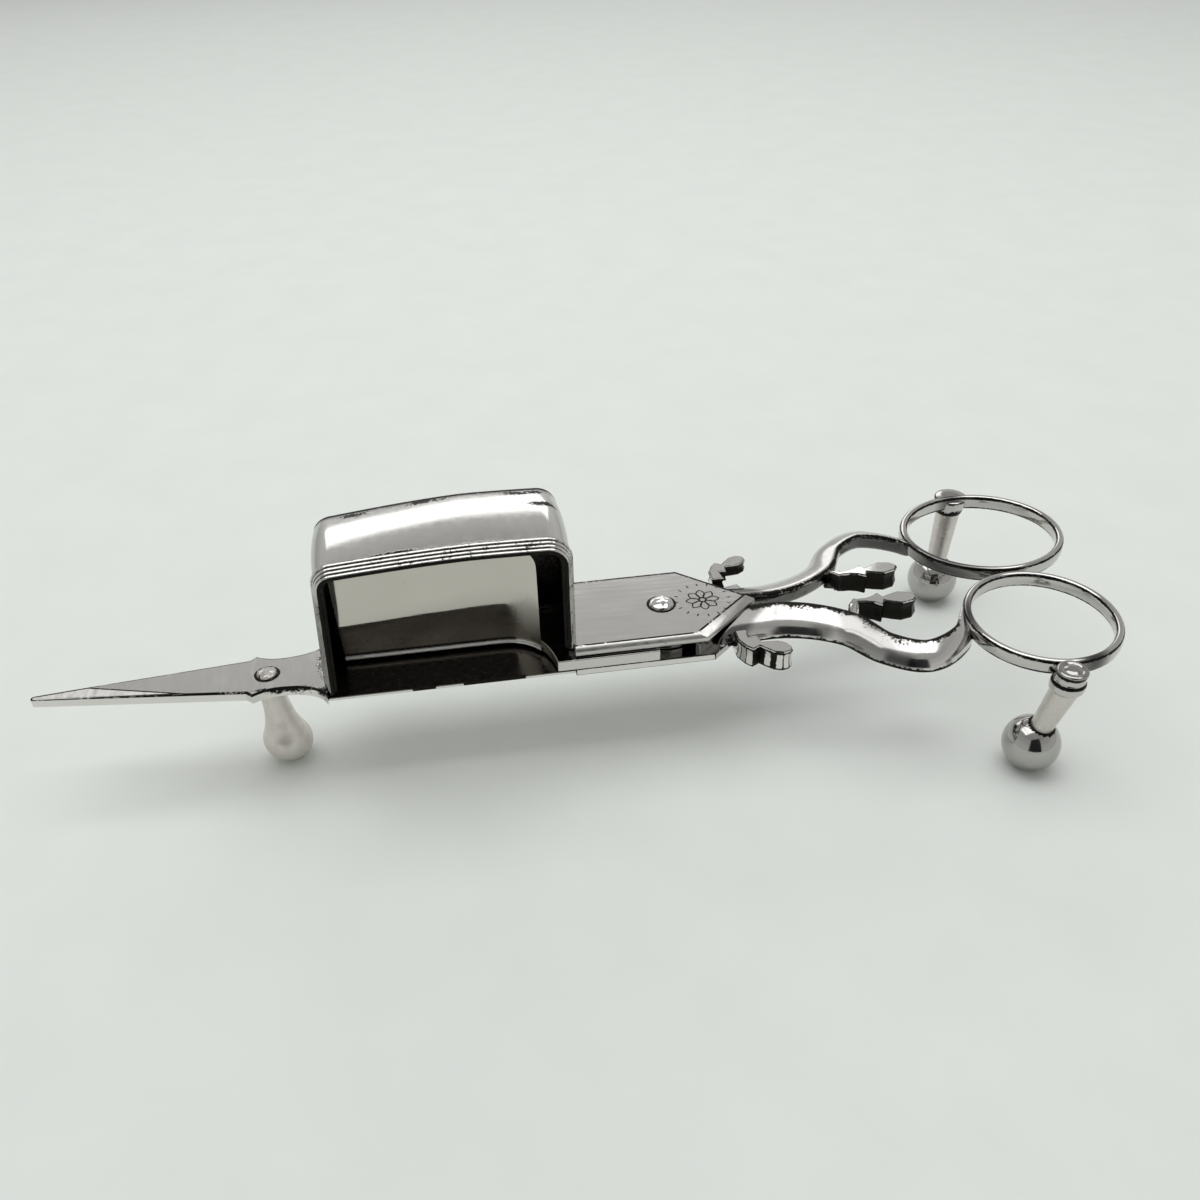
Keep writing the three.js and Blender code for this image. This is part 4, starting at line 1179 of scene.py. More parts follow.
# Bead along the press plate's foot: height and how far it stands forward, in millimetres, and its top
PRESS_BEAD = ((0.0, 0.25), (0.14, 0.5), (0.34, 0.55), (0.5, 0.42), (0.62, 0.1))
BEAD_TOP = 0.75 * MM
PRESS_COLUMNS, PRESS_ROWS, CORNER_ROWS = 24, 24, 16
# Widths of the softened edges, and painted shade of the bar and of the tongue, which lies in shade
# between the plates
PRESS_SOFT, TONGUE_SOFT, BAR_PAINTED_SHADE, TONGUE_PAINTED_SHADE = 0.2 * MM, 0.18 * MM, 0.15, 0.7


class SNUFFER_OT_press(Operator):
    """Make the tongue with its cutting bar, and the press plate"""
    bl_idname = "snuffer.press"
    bl_label = "Press arm"

    def execute(self, context):
        s = context.scene.snuffer_press
        right = corners("box_shell")[1].x
        corner = right - s.ledge
        bend = [(corner - s.elbow, -s.front), (corner - s.ease, -s.front), (corner, -s.tongue_front)]
        foot = self.tongue(s, fork_outline(context.scene.snuffer_fork)[1], right, bend)

        sweep = bend[:1] + quadratic(*bend, 60)
        rows = self.plate_rows(s, *corners("press_plate"), foot + 0.05 * MM, sweep)
        # The bead and the softened edges take the brighter finish, a painted highlight
        bead = {i * len(rows[0]) + j for i in range(len(PRESS_BEAD) - 1) for j in range(PRESS_COLUMNS)}
        make_piece("press_plate", PRESS_ARM, PLAIN, skin(rows), ["press", "bright_edge"],
                   lambda polygon: int(polygon.index in bead),
                   soft={"width": PRESS_SOFT, "limit": 50, "edge": finish("bright_edge")})
        return {"FINISHED"}

    def tongue(self, s, normal, right, bend):
        """Flat tongue round the pivot and the bar that bends from it; returns its lowest height."""
        low, high = corners("press_tongue")
        elbow = bend[0][0]
        swing = -math.degrees(math.acos(-s.shoulder / s.disc))
        stop = math.degrees(math.atan2(normal.y, normal.x) - math.acos(s.end / s.disc))
        outline = [(low.x, -s.front), bend[0]] + quadratic(*bend, 24)
        outline += [(-s.shoulder, -s.tongue_front)]
        outline += arc(0, 0, s.disc, swing, stop, 28)
        outline += [((s.end - normal.y * s.tongue_back) / normal.x, s.tongue_back),
                    (right + s.set_in, s.tongue_back)]
        outline += quadratic(outline[-1], (right, s.bar_back), (elbow, s.bar_back), 20)
        outline += [(low.x, s.bar_back)]
        # The tongue gets painted shade, darker than the bar, for the shade between the plates
        make_piece("press_tongue", PRESS_ARM, POLISHED, plate(outline, low.z, high.z), ["plain"],
                   soft={"width": TONGUE_SOFT, "segments": 3},
                   dull=lambda p: BAR_PAINTED_SHADE if p.x < -s.shoulder + 0.05 * MM else TONGUE_PAINTED_SHADE)
        return low.z

    def plate_rows(self, s, low, high, foot, sweep):
        """Rows up the press plate, whose front comes down over the bar and bends with its elbow."""
        side = high.z - s.corner
        levels = [(foot + z * MM, out * MM) for z, out in PRESS_BEAD]
        levels += [(foot + BEAD_TOP + (side - foot - BEAD_TOP) * i / PRESS_ROWS, 0.0)
                   for i in range(PRESS_ROWS)]
        levels += [(side + s.corner * math.sin(math.radians(90 * i / CORNER_ROWS)), 0.0)
                   for i in range(CORNER_ROWS + 1)]
        rows = []
        for z, bead in levels:
            round_off = s.corner - math.sqrt(max(s.corner ** 2 - max(z - side, 0.0) ** 2, 0.0))
            up = (z - foot) / (high.z - foot)
            left = low.x - s.spread * up + round_off
            right = high.x - round_off
            front, back = [], []
            for i in range(PRESS_COLUMNS + 1):
                x = left + (right - left) * i / PRESS_COLUMNS
                more = 0.8 + 0.6 * (x - low.x) / (high.x - low.x)
                rise = min((z - foot) / (s.bulge_height * more), 1.25)
                rise = rise if rise < 0.75 else 1.0 - (1.25 - rise) ** 2
                bend = next((sweep[0][1] - y for at, y in sweep if at >= x), 0.0)
                y = low.y - 0.02 * MM - s.bulge * rise * more - bend * (1 - 0.85 * min(1.2 * up, 1.0))
                front.append((x, y - bead, z))
                back.append((x, y + high.y - low.y, z))
            rows.append(front + back[::-1])
        return rows


# Section of a handle in shares of its half width, 1 on the side of the other handle, and its height
HANDLE_SECTION = (
    (-0.72, 0.0), (-0.25, 0.0), (0.2, 0.0), (0.52, 0.05), (0.76, 0.16), (0.92, 0.32), (1.0, 0.5),
    (1.0, 0.7), (0.99, 0.84), (0.93, 0.93), (0.83, 0.985), (0.72, 1.0), (0.58, 0.985), (0.4, 0.955),
    (0.18, 0.908), (-0.05, 0.85), (-0.27, 0.778), (-0.48, 0.685), (-0.66, 0.575), (-0.8, 0.455),
    (-0.91, 0.32), (-0.98, 0.18), (-0.97, 0.07), (-0.88, 0.015))
# Wear round that section, and more of it along the middle of the front handle's top
HANDLE_WEAR = {
    "front": (0.2, 0.2, 0.4, 0.6, 0.25, 0.2, 0.2, 0.4, 0.8, 1.0, 1.0, 0.8, 0.55, 0.3, 0.1, 0.0, 0.0, 0.0,
              0.0, 0.0, 0.05, 0.5, 1.0, 1.0),
    "back": (0.2, 0.2, 0.4, 0.6, 0.25, 0.2, 0.2, 0.2, 0.3, 0.6, 0.7, 0.2, 0.1, 0.0, 0.0, 0.0, 0.0, 0.0,
             0.0, 0.0, 0.05, 0.5, 1.0, 1.0),
}
HANDLE_RUBBED = (0.0,) * 11 + (0.6, 0.42, 0.34, 0.26, 0.18, 0.1, 0.0) + (0.0,) * 6
# Painted shade on the front handle's low side, for its dark reflections, by the section's points,
# and the points of the inner side, which get painted shade
HANDLE_LOW_SIDE = {17: 0.3, 18: 0.85, 19: 1.0, 20: 1.0, 21: 0.5}
INNER_SIDE = range(3, 9)
# Points of the section by which lengths are measured: on the top and on the low side
TOP_POINT, LOW_POINT = 14, 18
# Lengths in millimetres from the pivot, and how soon they begin and end: rubbed,
# and painted grey shade all round
RUBBED_LENGTH, PAINTED_GREY_LENGTH = (30.5, 41.5, 2.5, 2.5), (27.5, 38.0, 2.5, 3.0)
# Lengths of painted shade on the low side, after their share
LOW_LENGTHS = ((0.95, 33.0, 39.4, 2.0, 2.0), (0.5, 23.5, 28.8, 2.0, 2.0))
# Share of the painted grey shade on each handle
PAINTED_GREY_SHARE = {"front": 0.5, "back": 0.2}
# Painted shade at the fork, where the plates shade the handle, how far it reaches
# and over what length it fades
ROOT_PAINTED_SHADE, ROOT_REACH, ROOT_FADE = 0.8, 4.2 * MM, 1.5 * MM
# Sections of a handle, how much closer they stand at the fork, and the step in finding the first
HANDLE_ROWS, CROWDING, START_STEP = 150, 1.25, 0.0005
# Lengths in which the sections turn from the fork's edge and grow to their full size, and the first size
TURN_LENGTH, NOSE_LENGTH, NOSE_SIZE = 9 * MM, 1.1 * MM, 0.78
# Last sections, which end in the ring, over what length they are levelled and to what share of its height
END_ROWS, END_FADE, END_HEIGHT = 40, 0.8 * MM, 0.7
# Section to which the back handle's thin root runs
WEB_ROW = 24


def within(value, start, stop, rise, fall):
    """Nought outside two values and one between them, with an eased rise and fall inside."""
    return eased((value - start) / rise) * eased((stop - value) / fall)


def bend_at(stations, t):
    """Place on the smooth line through the bends, from 0 to 1."""
    last = len(stations) - 1
    i = min(int(t * last), last - 1)
    w = t * last - i
    b, c = stations[i], stations[i + 1]
    a = stations[i - 1] if i else 2 * b - c
    d = stations[i + 2] if i + 2 <= last else 2 * c - b
    ab, bc, cd = (math.sqrt(max((q - p).length, 1e-7)) for p, q in ((a, b), (b, c), (c, d)))
    u = ((b - a) / ab - (c - a) / (ab + bc) + (c - b) / bc) * bc
    v = ((c - b) / bc - (d - b) / (bc + cd) + (d - c) / cd) * bc
    return b + w * (u + w * (3 * (c - b) - 2 * u - v + w * (2 * (b - c) + u + v)))


def ring_place(end, longer=0.0):
    """Middle and half sizes of a finger ring; the back one may be longer towards its handle."""
    low, high = corners(end + "_finger_ring")
    centre, half = (low + high) / 2, (high - low) / 2
    if end == "back":
        half.x += longer / 2
        centre.x -= longer / 2
    return centre, half


class SNUFFER_OT_handles(Operator):
    """Make the two scroll handles"""
    bl_idname = "snuffer.handles"
    bl_label = "Scroll handles"

    def execute(self, context):
        s = context.scene.snuffer_handles
        ring = context.scene.snuffer_rings
        outline, normal = fork_outline(context.scene.snuffer_fork)
        edge = outline[2][0] * normal.x
        for side, end, body in ARMS:
            rows = self.rows(context, s, side, self.stations(s, side, end, ring.band))
            self.trim(rows, ring.band, *ring_place(end, ring.longer))
            points, faces = skin(rows)
            wear, dull = self.marks(rows, end)
            if end == "back":
                web, web_faces = self.web(context, rows)
                faces += [tuple(i + len(points) for i in face) for face in web_faces]
                points += web
                wear += [0.0] * len(web)
                dull += [0.0] * len(web)
            # Painted grey shade along the middle, and painted shade at the fork where the plates shade the
            # handle
            for i, p in enumerate(points):
                root = eased((ROOT_REACH + edge - p.x * normal.x - abs(p.y) * normal.y) / ROOT_FADE)
                painted_grey = PAINTED_GREY_SHARE[end] * within(p.x / MM, *PAINTED_GREY_LENGTH)
                dull[i] = max(dull[i], painted_grey, ROOT_PAINTED_SHADE * root)
            make_piece(end + "_scroll_handle", body, POLISHED, (points, faces), ["handle"], limit=52,
                       wear=wear, dull=dull)
        return {"FINISHED"}

    def stations(self, s, side, end, band):
        """Bends of the handle, with its half width at each; the last is in the middle of the ring's band."""
        centre, half = ring_place(end)
        join = (centre.x + (half.x - band / 2) * math.cos(s.join),
                centre.y * side + (half.y - band / 2) * math.sin(s.join), s.join_half)
        return [Vector((reach, side * away, width))
                for reach, away, width in (s.root, s.waist, s.rise, s.bow, s.crest, s.neck, join)]

    def rows(self, context, s, side, stations):
        """Sections from the slanting fork edge to the ring; the first ones follow that edge."""
        fork = context.scene.snuffer_fork
        outline, normal = fork_outline(fork)
        normal = Vector((normal.x, side * normal.y))
        slant = Vector((-normal.y, normal.x)) * side
        start = outline[2][0] * normal.x + s.root_gap
        swing = Vector((fork.shoulder, outline[3][1])).length + 0.4 * MM if side > 0 else 0.0
        top = corners("front_scroll_handle")[1].z
        begin = 0.0
        while bend_at(stations, begin).xy.dot(normal) < start:
            begin += START_STEP
        rows = []
        travelled = 0.0
        last = bend_at(stations, begin).xy
        for i in range(HANDLE_ROWS + 1):
            t = begin + (1 - begin) * (i / HANDLE_ROWS) ** CROWDING
            here = bend_at(stations, t)
            before, after = (bend_at(stations, min(max(t + step, 0), 1)).xy for step in (-1e-3, 1e-3))
            ahead = (after - before).normalized()
            travelled += (here.xy - last).length
            last = here.xy
            square = Vector((ahead.y, -ahead.x)) * side
            ease = eased(travelled / TURN_LENGTH)
            facing = slant if slant.dot(square) > 0 else -slant
            across = (facing * (1 - ease) + square * ease).normalized()
            reach = here.z / max(across.dot(square), 0.3)
            nose = min(travelled / NOSE_LENGTH, 1.0)
            nose = NOSE_SIZE + (1 - NOSE_SIZE) * math.sqrt(1 - (1 - nose) ** 2)
            height = s.height + (s.end_height - s.height) * t
            row = []
            for a, up in HANDLE_SECTION:
                place = here.xy + across * (a * nose * reach)
                if place.length < swing:
                    place = place.normalized() * swing
                row.append(Vector((place.x, place.y, top - height * (0.5 + (0.5 - up) * nose))))
            rows.append(row)
        return rows

    def trim(self, rows, band, centre, half):
        """Ends the handle inside the ring's band, level with it and out of its bore."""
        bore = Vector((half.x - 0.5 * band, half.y - 0.5 * band))
        for row in rows[-END_ROWS:]:
            for point in row:
                away = Vector(((point.x - centre.x) / bore.x, (point.y - centre.y) / bore.y))
                inside = eased((1 - away.length) * bore.x / END_FADE + 1)
                level = min(max(point.z, centre.z - END_HEIGHT * half.z), centre.z + END_HEIGHT * half.z)
                point.z += (level - point.z) * inside
                if away.length < 1:
                    point.x = centre.x + away.x / away.length * bore.x
                    point.y = centre.y + away.y / away.length * bore.y

    def marks(self, rows, end):
        """Wear and painted shade of each point of the rows."""
        wear, dull = [], []
        for i, row in enumerate(rows):
            along = i / len(rows)
            # Painted shade on the inner side, for the dark reflections there
            inner = 0.78 + 0.16 * along
            rubbed, low_side, kept = 0.0, 0.0, 1.0
            if end == "front":
                rubbed = within(row[TOP_POINT].x / MM, *RUBBED_LENGTH)
                low_side = max(dark * within(row[LOW_POINT].x / MM, *length)
                               for dark, *length in LOW_LENGTHS)
                kept = 1 - 0.75 * eased((along - 0.8) / 0.16)
            for j, (worn, more) in enumerate(zip(HANDLE_WEAR[end], HANDLE_RUBBED)):
                wear.append(max(worn, more * rubbed) * kept)
                dull.append(max(inner if j in INNER_SIDE else 0.0, low_side * HANDLE_LOW_SIDE.get(j, 0.0)))
        return wear, dull

    def web(self, context, rows):
        """Thin root of the back handle, between the fork plates."""
        normal = fork_outline(context.scene.snuffer_fork)[1]
        reach = context.scene.snuffer_press.end + 0.2 * MM
        low, high = corners("press_tongue")
        first, last = rows[0], rows[WEB_ROW]
        left, right = (pick(first, key=lambda p: p.x).xy for pick in (min, max))
        left, right = (p - normal * (p.dot(normal) - reach) for p in (left, right))
        far, near_end = (pick(last, key=lambda p: p.y) for pick in (max, min))
        outline = [right, (near_end.x - 4 * MM, near_end.y + 0.8 * MM),
                   (far.x - 5 * MM, far.y - 0.8 * MM), left]
        return plate(outline, low.z, high.z)


# Corners along one side of a leaf end, in shares of its length and half width
LEAF_CORNERS = {"bud": ((0.0, 0.26), (0.13, 0.32), (0.25, 0.52), (0.37, 1.0), (0.43, 0.36), (0.57, 0.66),
                        (0.71, 0.9), (0.91, 0.62), (1.0, 0.0)),
                "curl": ((0.0, 0.3), (0.12, 0.75), (0.28, 1.05), (0.38, 0.4), (0.5, 0.62), (0.68, 0.92),
                         (0.86, 0.82), (0.97, 0.42), (1.0, 0.0))}
# Stems from the leaf ends to the front handle, in millimetres about the leaf's start
LEAF_STEMS = {"bud": ((-0.7, 0.8), (-1.9, -0.7), (-2.4, -2.2), (-0.4, -3.7), (0.0, -1.6)),
              "curl": ((1.5, 1.2), (1.8, 2.9), (-0.6, 2.9), (-0.6, 0.4))}
# Steps from corner to corner, and the wear at each: commonly, and on the front curl's near side,
# where it is painted reflection of shade
LEAF_STEPS = 6
LEAF_WEAR = (0.85, 0.0, 0.0, 0.0, 0.0, 0.0)
CURL_PAINTED_SHADE = {2: (1.0, 1.0, 1.0, 1.0, 1.0, 1.0), 3: (1.0, 0.9, 0.9, 0.9, 0.8, 0.4),
             4: (0.0, 0.0, 0.0, 0.3, 0.9, 1.0), 5: (1.0, 0.7, 0.1, 0.0, 0.0, 0.0)}
# Rows up a leaf: set-in in shares of the flute, height in shares of the leaf's, wear of the edges
LEAF_ROWS = ((0.5, 0.0, 0.9), (0.12, 0.06, 0.9), (0.0, 0.13, 0.0), (0.55, 0.32, 0.0), (1.0, 0.52, 0.0),
             (0.6, 0.74, 0.0), (0.12, 0.84, 0.3), (0.0, 0.88, 0.9), (0.5, 0.95, 0.1), (1.0, 1.0, 0.75),
             (1.35, 1.0, 0.0))
# Height in shares of the leaf's where its side ends and its top begins
LEAF_SIDE = 0.86
# How far the back curl's underside is lifted, and the painted shade on sides that face the pivot,
# for the dark handle walls they reflect
CURL_LIFT, SIDE_PAINTED_SHADE = 0.42, 1.1


class SNUFFER_OT_leaves(Operator):
    """Make the buds inside the handles and the curls outside them"""
    bl_idname = "snuffer.leaves"
    bl_label = "Leaf ends"

    def execute(self, context):
        s = context.scene.snuffer_leaves
        for side, end, body in ARMS:
            for kind in ("bud", "curl"):
                node = f"{end}_{kind}"
                rows, wear = self.leaf(s, kind, side, *corners(node))
                make_piece(node, body, POLISHED, skin(rows), ["polished"], limit=28, wear=wear)
        return {"FINISHED"}

    def outline(self, s, kind, side):
        """Corners of a leaf on the front arm, counter-clockwise: near side, far side and stem."""
        place, angle = (s.front_curl if side < 0 else s.back_curl), s.curl_turn
        if kind == "bud":
            place, angle = s.bud, s.bud_turn
        start, away, length, half = place
        near_side = [(u * length, -v * half) for u, v in LEAF_CORNERS[kind]]
        far_side = [(x, -y) for x, y in reversed(near_side[:-1])]
        if kind == "curl":
            far_side.pop()
        c, w = math.cos(angle), math.sin(angle)
        leaf = [(x * c - y * w, x * w + y * c) for x, y in near_side + far_side]
        leaf += [(x * MM, y * MM) for x, y in LEAF_STEMS[kind]]
        return [(start + x, y - away) for x, y in leaf]

    def leaf(self, s, kind, side, low, high):
        """Rows of a leaf of two lobes with hollow sides, and its wear and painted shade; its stem runs to
        the handle.
        """
        ends = self.outline(s, kind, side)
        front_curl = (kind, side) == ("curl", -1)
        edge, wall_shade = [], []
        for i, (corner, after) in enumerate(zip(ends, ends[1:] + ends[:1])):
            # The front curl's near side and the sides that face the pivot get painted shade, for dark
            # reflections
            edge += CURL_PAINTED_SHADE.get(i, LEAF_WEAR) if front_curl else LEAF_WEAR
            toward = (after[0] - corner[0]) * side / math.dist(corner, after)
            wall_shade += [0.0 if front_curl else SIDE_PAINTED_SHADE * eased((-0.15 - toward) / 0.3)] * LEAF_STEPS
        rows, wear = [], []
        for depth, level, line in LEAF_ROWS:
            ring = [Vector(corner) for corner in inset(ends, depth * s.flute)]
            row = []
            for corner, after in zip(ring, ring[1:] + ring[:1]):
                for x, y in (corner.lerp(after, j / LEAF_STEPS) for j in range(LEAF_STEPS)):
                    up = self.height(s, kind, side, x, y, level)
                    row.append((x, -side * y, low.z + (high.z - low.z) * up))
            rows.append(row)
            wear += [max(wall, worn, line) if level < LEAF_SIDE else line for wall, worn in zip(wall_shade, edge)]
        return rows, wear

    def height(self, s, kind, side, x, y, level):
        """Height in shares of the leaf's; the bud's stem thins at its root and drops to the handle."""
        lift = drop = 0.0
        if kind == "bud":
            root = (x - s.bud[0]) / s.bud[2]
            lift = 0.3 * (1 - eased((root + 0.3) / 0.35))
            drop = 0.4 * eased((-y - s.bud[1] - 0.9 * MM) / MM) * eased((0.08 - root) / 0.05)
        elif side > 0:
            lift = CURL_LIFT
        return lift + (1 - lift) * level - drop


# Wear at the ring's rounded corners, and its painted shade beside the handle and the boss
RING_CORNER_WEAR, RING_PAINTED_SHADE = 0.8, 0.9


def ring_tree():
    """A full rounded section carried round an oval, with painted shade beside the handle and the boss."""
    tree, given = start_tree("finger_ring", {
        "Reach": "Float", "Width": "Float", "Band": "Float", "Height": "Float", "Fullness": "Float",
        "Join": "Float", "Join spread": "Float", "Boss": "Float", "Boss spread": "Float"})
    oval = moved(tree, ring_curve(tree, 168, 1.0),
                 Scale=vector_of(tree, given["Reach"], given["Width"], 1.0))
    oval = made(tree, "GeometryNodeSetCurveNormal", {"Curve": oval}, mode="Z_UP")
    across = places(tree)
    power = maths(tree, "DIVIDE", 2.0, given["Fullness"])
    full, shares = [], []
    for axis, extent in (("X", given["Band"]), ("Y", given["Height"])):
        shares.append(maths(tree, "POWER", maths(tree, "ABSOLUTE", across[axis]), power))
        signed = maths(tree, "MULTIPLY", shares[-1], maths(tree, "SIGN", across[axis]))
        full.append(maths(tree, "MULTIPLY", signed, maths(tree, "MULTIPLY", extent, 0.5)))
    corner = ranged(tree, maths(tree, "MULTIPLY", *shares), 0.5, 0.6, 0.0, RING_CORNER_WEAR)
    section = stored(tree, ring_curve(tree, 32, 1.0), "wear", corner)
    section = made(tree, "GeometryNodeSetPosition", {"Geometry": section,
                                                     "Position": vector_of(tree, *full)})
    place = places(tree)
    angle = maths(tree, "ARCTAN2", place["Y"], place["X"])
    dark = []
    for mark in ("Join", "Boss"):
        close = maths(tree, "COSINE", maths(tree, "SUBTRACT", angle, given[mark]))
        dark.append(ranged(tree, close, given[mark + " spread"], 1.0, 0.0, RING_PAINTED_SHADE))
    ring = stored(tree, swept(tree, oval, section, caps=False), "dull", maths(tree, "MAXIMUM", *dark))
    return end_tree(tree, given, seated(tree, given["Geometry"], ring))


# Where each ring gets painted shade beside its handle, how far to each side, and where beside its boss,
# in degrees
RING_MARKS = {"front": (168, 26, -78), "back": (-140, 46, 95)}
BOSS_SPREAD = 16


class SNUFFER_OT_rings(Operator):
    """Make the two finger rings"""
    bl_idname = "snuffer.rings"
    bl_label = "Finger rings"

    def execute(self, context):
        s = context.scene.snuffer_rings
        tree = ring_tree()
        for side, end, body in ARMS:
            node = end + "_finger_ring"
            centre, half = ring_place(end, s.longer)
            join, spread, boss = (math.radians(angle) for angle in RING_MARKS[end])
            ring = grow("finished_" + node, [centre], [], [], tree, {
                "Reach": half.x - s.band / 2, "Width": half.y - s.band / 2, "Band": s.band,
                "Height": 2 * half.z, "Fullness": s.fullness, "Join": join, "Join spread": math.cos(spread),
                "Boss": boss, "Boss spread": math.cos(math.radians(BOSS_SPREAD)),
                "Material": finish("ring")})
            hand_over(ring, body, POLISHED, node)
        return {"FINISHED"}


# Turned profiles of the bosses, radius and height in millimetres, for a flange of BOSS_FLANGE
BOSS_FLANGE = 2.8 * MM
BOSS_PROFILE = {
    "front": ((0, 0), (2.3, 0), (2.55, 0.12), (2.74, 0.35), (2.8, 0.7), (2.8, 1.5), (2.74, 1.8), (2.6, 2.05),
              (2.46, 2.3), (2.38, 2.6), (2.36, 3.0), (2.4, 3.4), (2.5, 3.7), (2.5, 3.92), (2.42, 4.1),
              (2.2, 4.18), (1.56, 4.2), (1.48, 4.1), (1.38, 4.1), (1.3, 4.2), (0.6, 4.23), (0, 4.24)),
    "back": ((0, 0), (2.3, 0), (2.5, 0.1), (2.62, 0.4), (2.95, 1.6), (3.1, 2.4), (3.12, 2.7), (3.02, 2.95),
             (2.8, 3.05), (1.5, 3.1), (0, 3.12)),
}
# Heights of their dark hollows, and the height from which their top gets painted grey shade
BOSS_DARK = {"front": ((1.75, 2.1), (3.3, 3.75)), "back": ((0.0, 1.2), (2.75, 2.98))}
BOSS_PAINTED_GREY = 3.05 * MM
# Share of the peg's lean that the boss has
BOSS_LEAN = 0.45
# How deep a peg stands in its ball, and the dark rim round that seat in shares of the ball's radius
PEG_SUNK, SEAT_RIM = 1.0 * MM, 0.09
PEG_STEPS = 8


class SNUFFER_OT_feet(Operator):
    """Make the bosses, pegs and balls under the finger rings"""
    bl_idname = "snuffer.feet"
    bl_label = "Ring feet"

    def execute(self, context):
        s = context.scene.snuffer_feet
        for side, end, body in ARMS:
            lean = s.front_lean if side < 0 else s.back_lean
            boss_foot = corners(end + "_foot_boss")[0].z
            ball = middle(end + "_ball_foot")
            ball.z = s.ball - FOOT_FLAT
            place = (ball.x - lean[0], ball.y - lean[1])
            slope = [value / (boss_foot - ball.z) for value in lean]
            self.boss(s, end, body, place, slope, boss_foot)
            self.peg(s, end, body, place, slope)
            self.ball(s, end, body, ball, slope)
        return {"FINISHED"}

    def boss(self, s, end, body, place, slope, foot):
        """Boss between the ring and the peg, with dark hollows and painted grey shade on its top."""
        unit = s.boss / BOSS_FLANGE * MM
        profile = [(r * unit, foot + z * MM) for r, z in BOSS_PROFILE[end]]
        boss = turned(profile, place, [value * BOSS_LEAN for value in slope], foot)

        def wear(p):
            """Dark in the hollows."""
            return 0.9 if any(a * MM < p.z - foot < b * MM for a, b in BOSS_DARK[end]) else 0.1

        make_piece(end + "_foot_boss", body, POLISHED, boss, ["ring"], limit=60, wear=wear,
                   dull=lambda p: 0.35 if p.z - foot > BOSS_PAINTED_GREY else 0.0)

    def peg(self, s, end, body, place, slope):
        """Leaning peg that thins towards the ball."""
        low, high = corners(end + "_foot_peg")
        profile = [(0, low.z - PEG_SUNK), (s.peg_end, low.z - PEG_SUNK)]
        profile += [(s.peg_end + (s.peg_top - s.peg_end) * i / PEG_STEPS,
                     low.z + (high.z - low.z) * i / PEG_STEPS) for i in range(PEG_STEPS + 1)]
        profile += [(0, high.z)]
        make_piece(end + "_foot_peg", body, SATIN, turned(profile, place, slope, high.z), ["peg"])

    def ball(self, s, end, body, centre, slope):
        """Ball on the table, dark round the peg's seat."""
        profile = [(0, 0)] + [(r, max(z, 0.0)) for r, z in arc(0, centre.z, s.ball, -72, 90, 48)]
        profile[-1] = (0, profile[-1][1])
        axis = Vector((-slope[0], -slope[1], 1)).normalized()
        seat = s.peg_end / s.ball + SEAT_RIM

        def wear(p):
            """Dark round the seat."""
            return 1.0 if p.z > centre.z and (p - centre).normalized().cross(axis).length < seat else 0.0

        make_piece(end + "_ball_foot", body, POLISHED, turned(profile, centre, segments=96), ["ball"],
                   limit=50, wear=wear)


# Least and greatest size of a solder bead, in shares of its common radius
SMALLEST_BEAD, LARGEST_BEAD = 0.45, 1.25


def solder_tree():
    """Beads scattered over a guide strip along a seam."""
    tree, given = start_tree("solder_beads", {"Density": "Float", "Bead": "Float", "Seed": "Int"})
    spots = made(tree, "GeometryNodeDistributePointsOnFaces", {
        "Mesh": given["Geometry"], "Density": given["Density"], "Seed": given["Seed"]})
    bead = made(tree, "GeometryNodeMeshIcoSphere", {"Radius": given["Bead"], "Subdivisions": 3})
    bead = moved(tree, bead, Scale=(1.0, 1.0, 0.55))
    random = add(tree, "FunctionNodeRandomValue", {2: SMALLEST_BEAD, 3: LARGEST_BEAD, "Seed": given["Seed"]},
                 data_type="FLOAT")
    return end_tree(tree, given, seated(tree, spots, bead, Scale=random.outputs[1]))


# Corners of the strip that the beads lie on, in millimetres from the box and the blade's axis
SOLDER_STRIP = ((-2.2, -1.8), (0.0, -4.2), (0.0, 5.0), (-1.8, 3.0))
# Beads per square metre, their radius and the seed of their places
SOLDER_DENSITY, SOLDER_BEAD, SOLDER_SEED = 2.6e6, 0.28 * MM, 7


class SNUFFER_OT_solder(Operator):
    """Scatter solder beads along the seam between the tip blade and the box"""
    bl_idname = "snuffer.solder"
    bl_label = "Solder seam"

    def execute(self, context):
        box = corners("box_shell")[0].x - context.scene.snuffer_box.flare
        top = corners("tip_blade")[1].z
        axis = context.scene.snuffer_tip.axis
        strip = [(box + x * MM, axis + y * MM, top) for x, y in SOLDER_STRIP]
        solder = grow("solder_seam", strip, [], [(0, 1, 2, 3)], solder_tree(), {
            "Density": SOLDER_DENSITY, "Bead": SOLDER_BEAD, "Seed": SOLDER_SEED,
            "Material": finish("hammered")})
        hand_over(solder, BOX_ARM, POLISHED)
        return {"FINISHED"}


# Stage

TABLE_REACH = 4.0
# Soft lamps: the setting of their power, width and depth, place, and the place that they face
LAMPS = {"overhead_panel": ("key", (1.1, 0.62), (0.0, 0.16, 0.80), (0.0, 0.02, 0.0)),
         "back_panel": ("fill", (0.84, 0.33), (0.03, 1.0, 0.475), (0.03, 0.0, 0.475))}
# Dark card behind the camera: its sides, place, and lower and upper edge
CARD_LEFT, CARD_RIGHT, CARD_PLACE, CARD_LOW, CARD_HIGH = -0.45, 0.22, -0.75, 0.0, 0.95
# Dark seams overhead: their left edges, width, and place and height of both ends
SEAMS, SEAM_WIDTH, SEAM_FRONT, SEAM_BACK = (-0.34, 0.19), 0.022, (-0.14, 0.83), (0.46, 0.726)
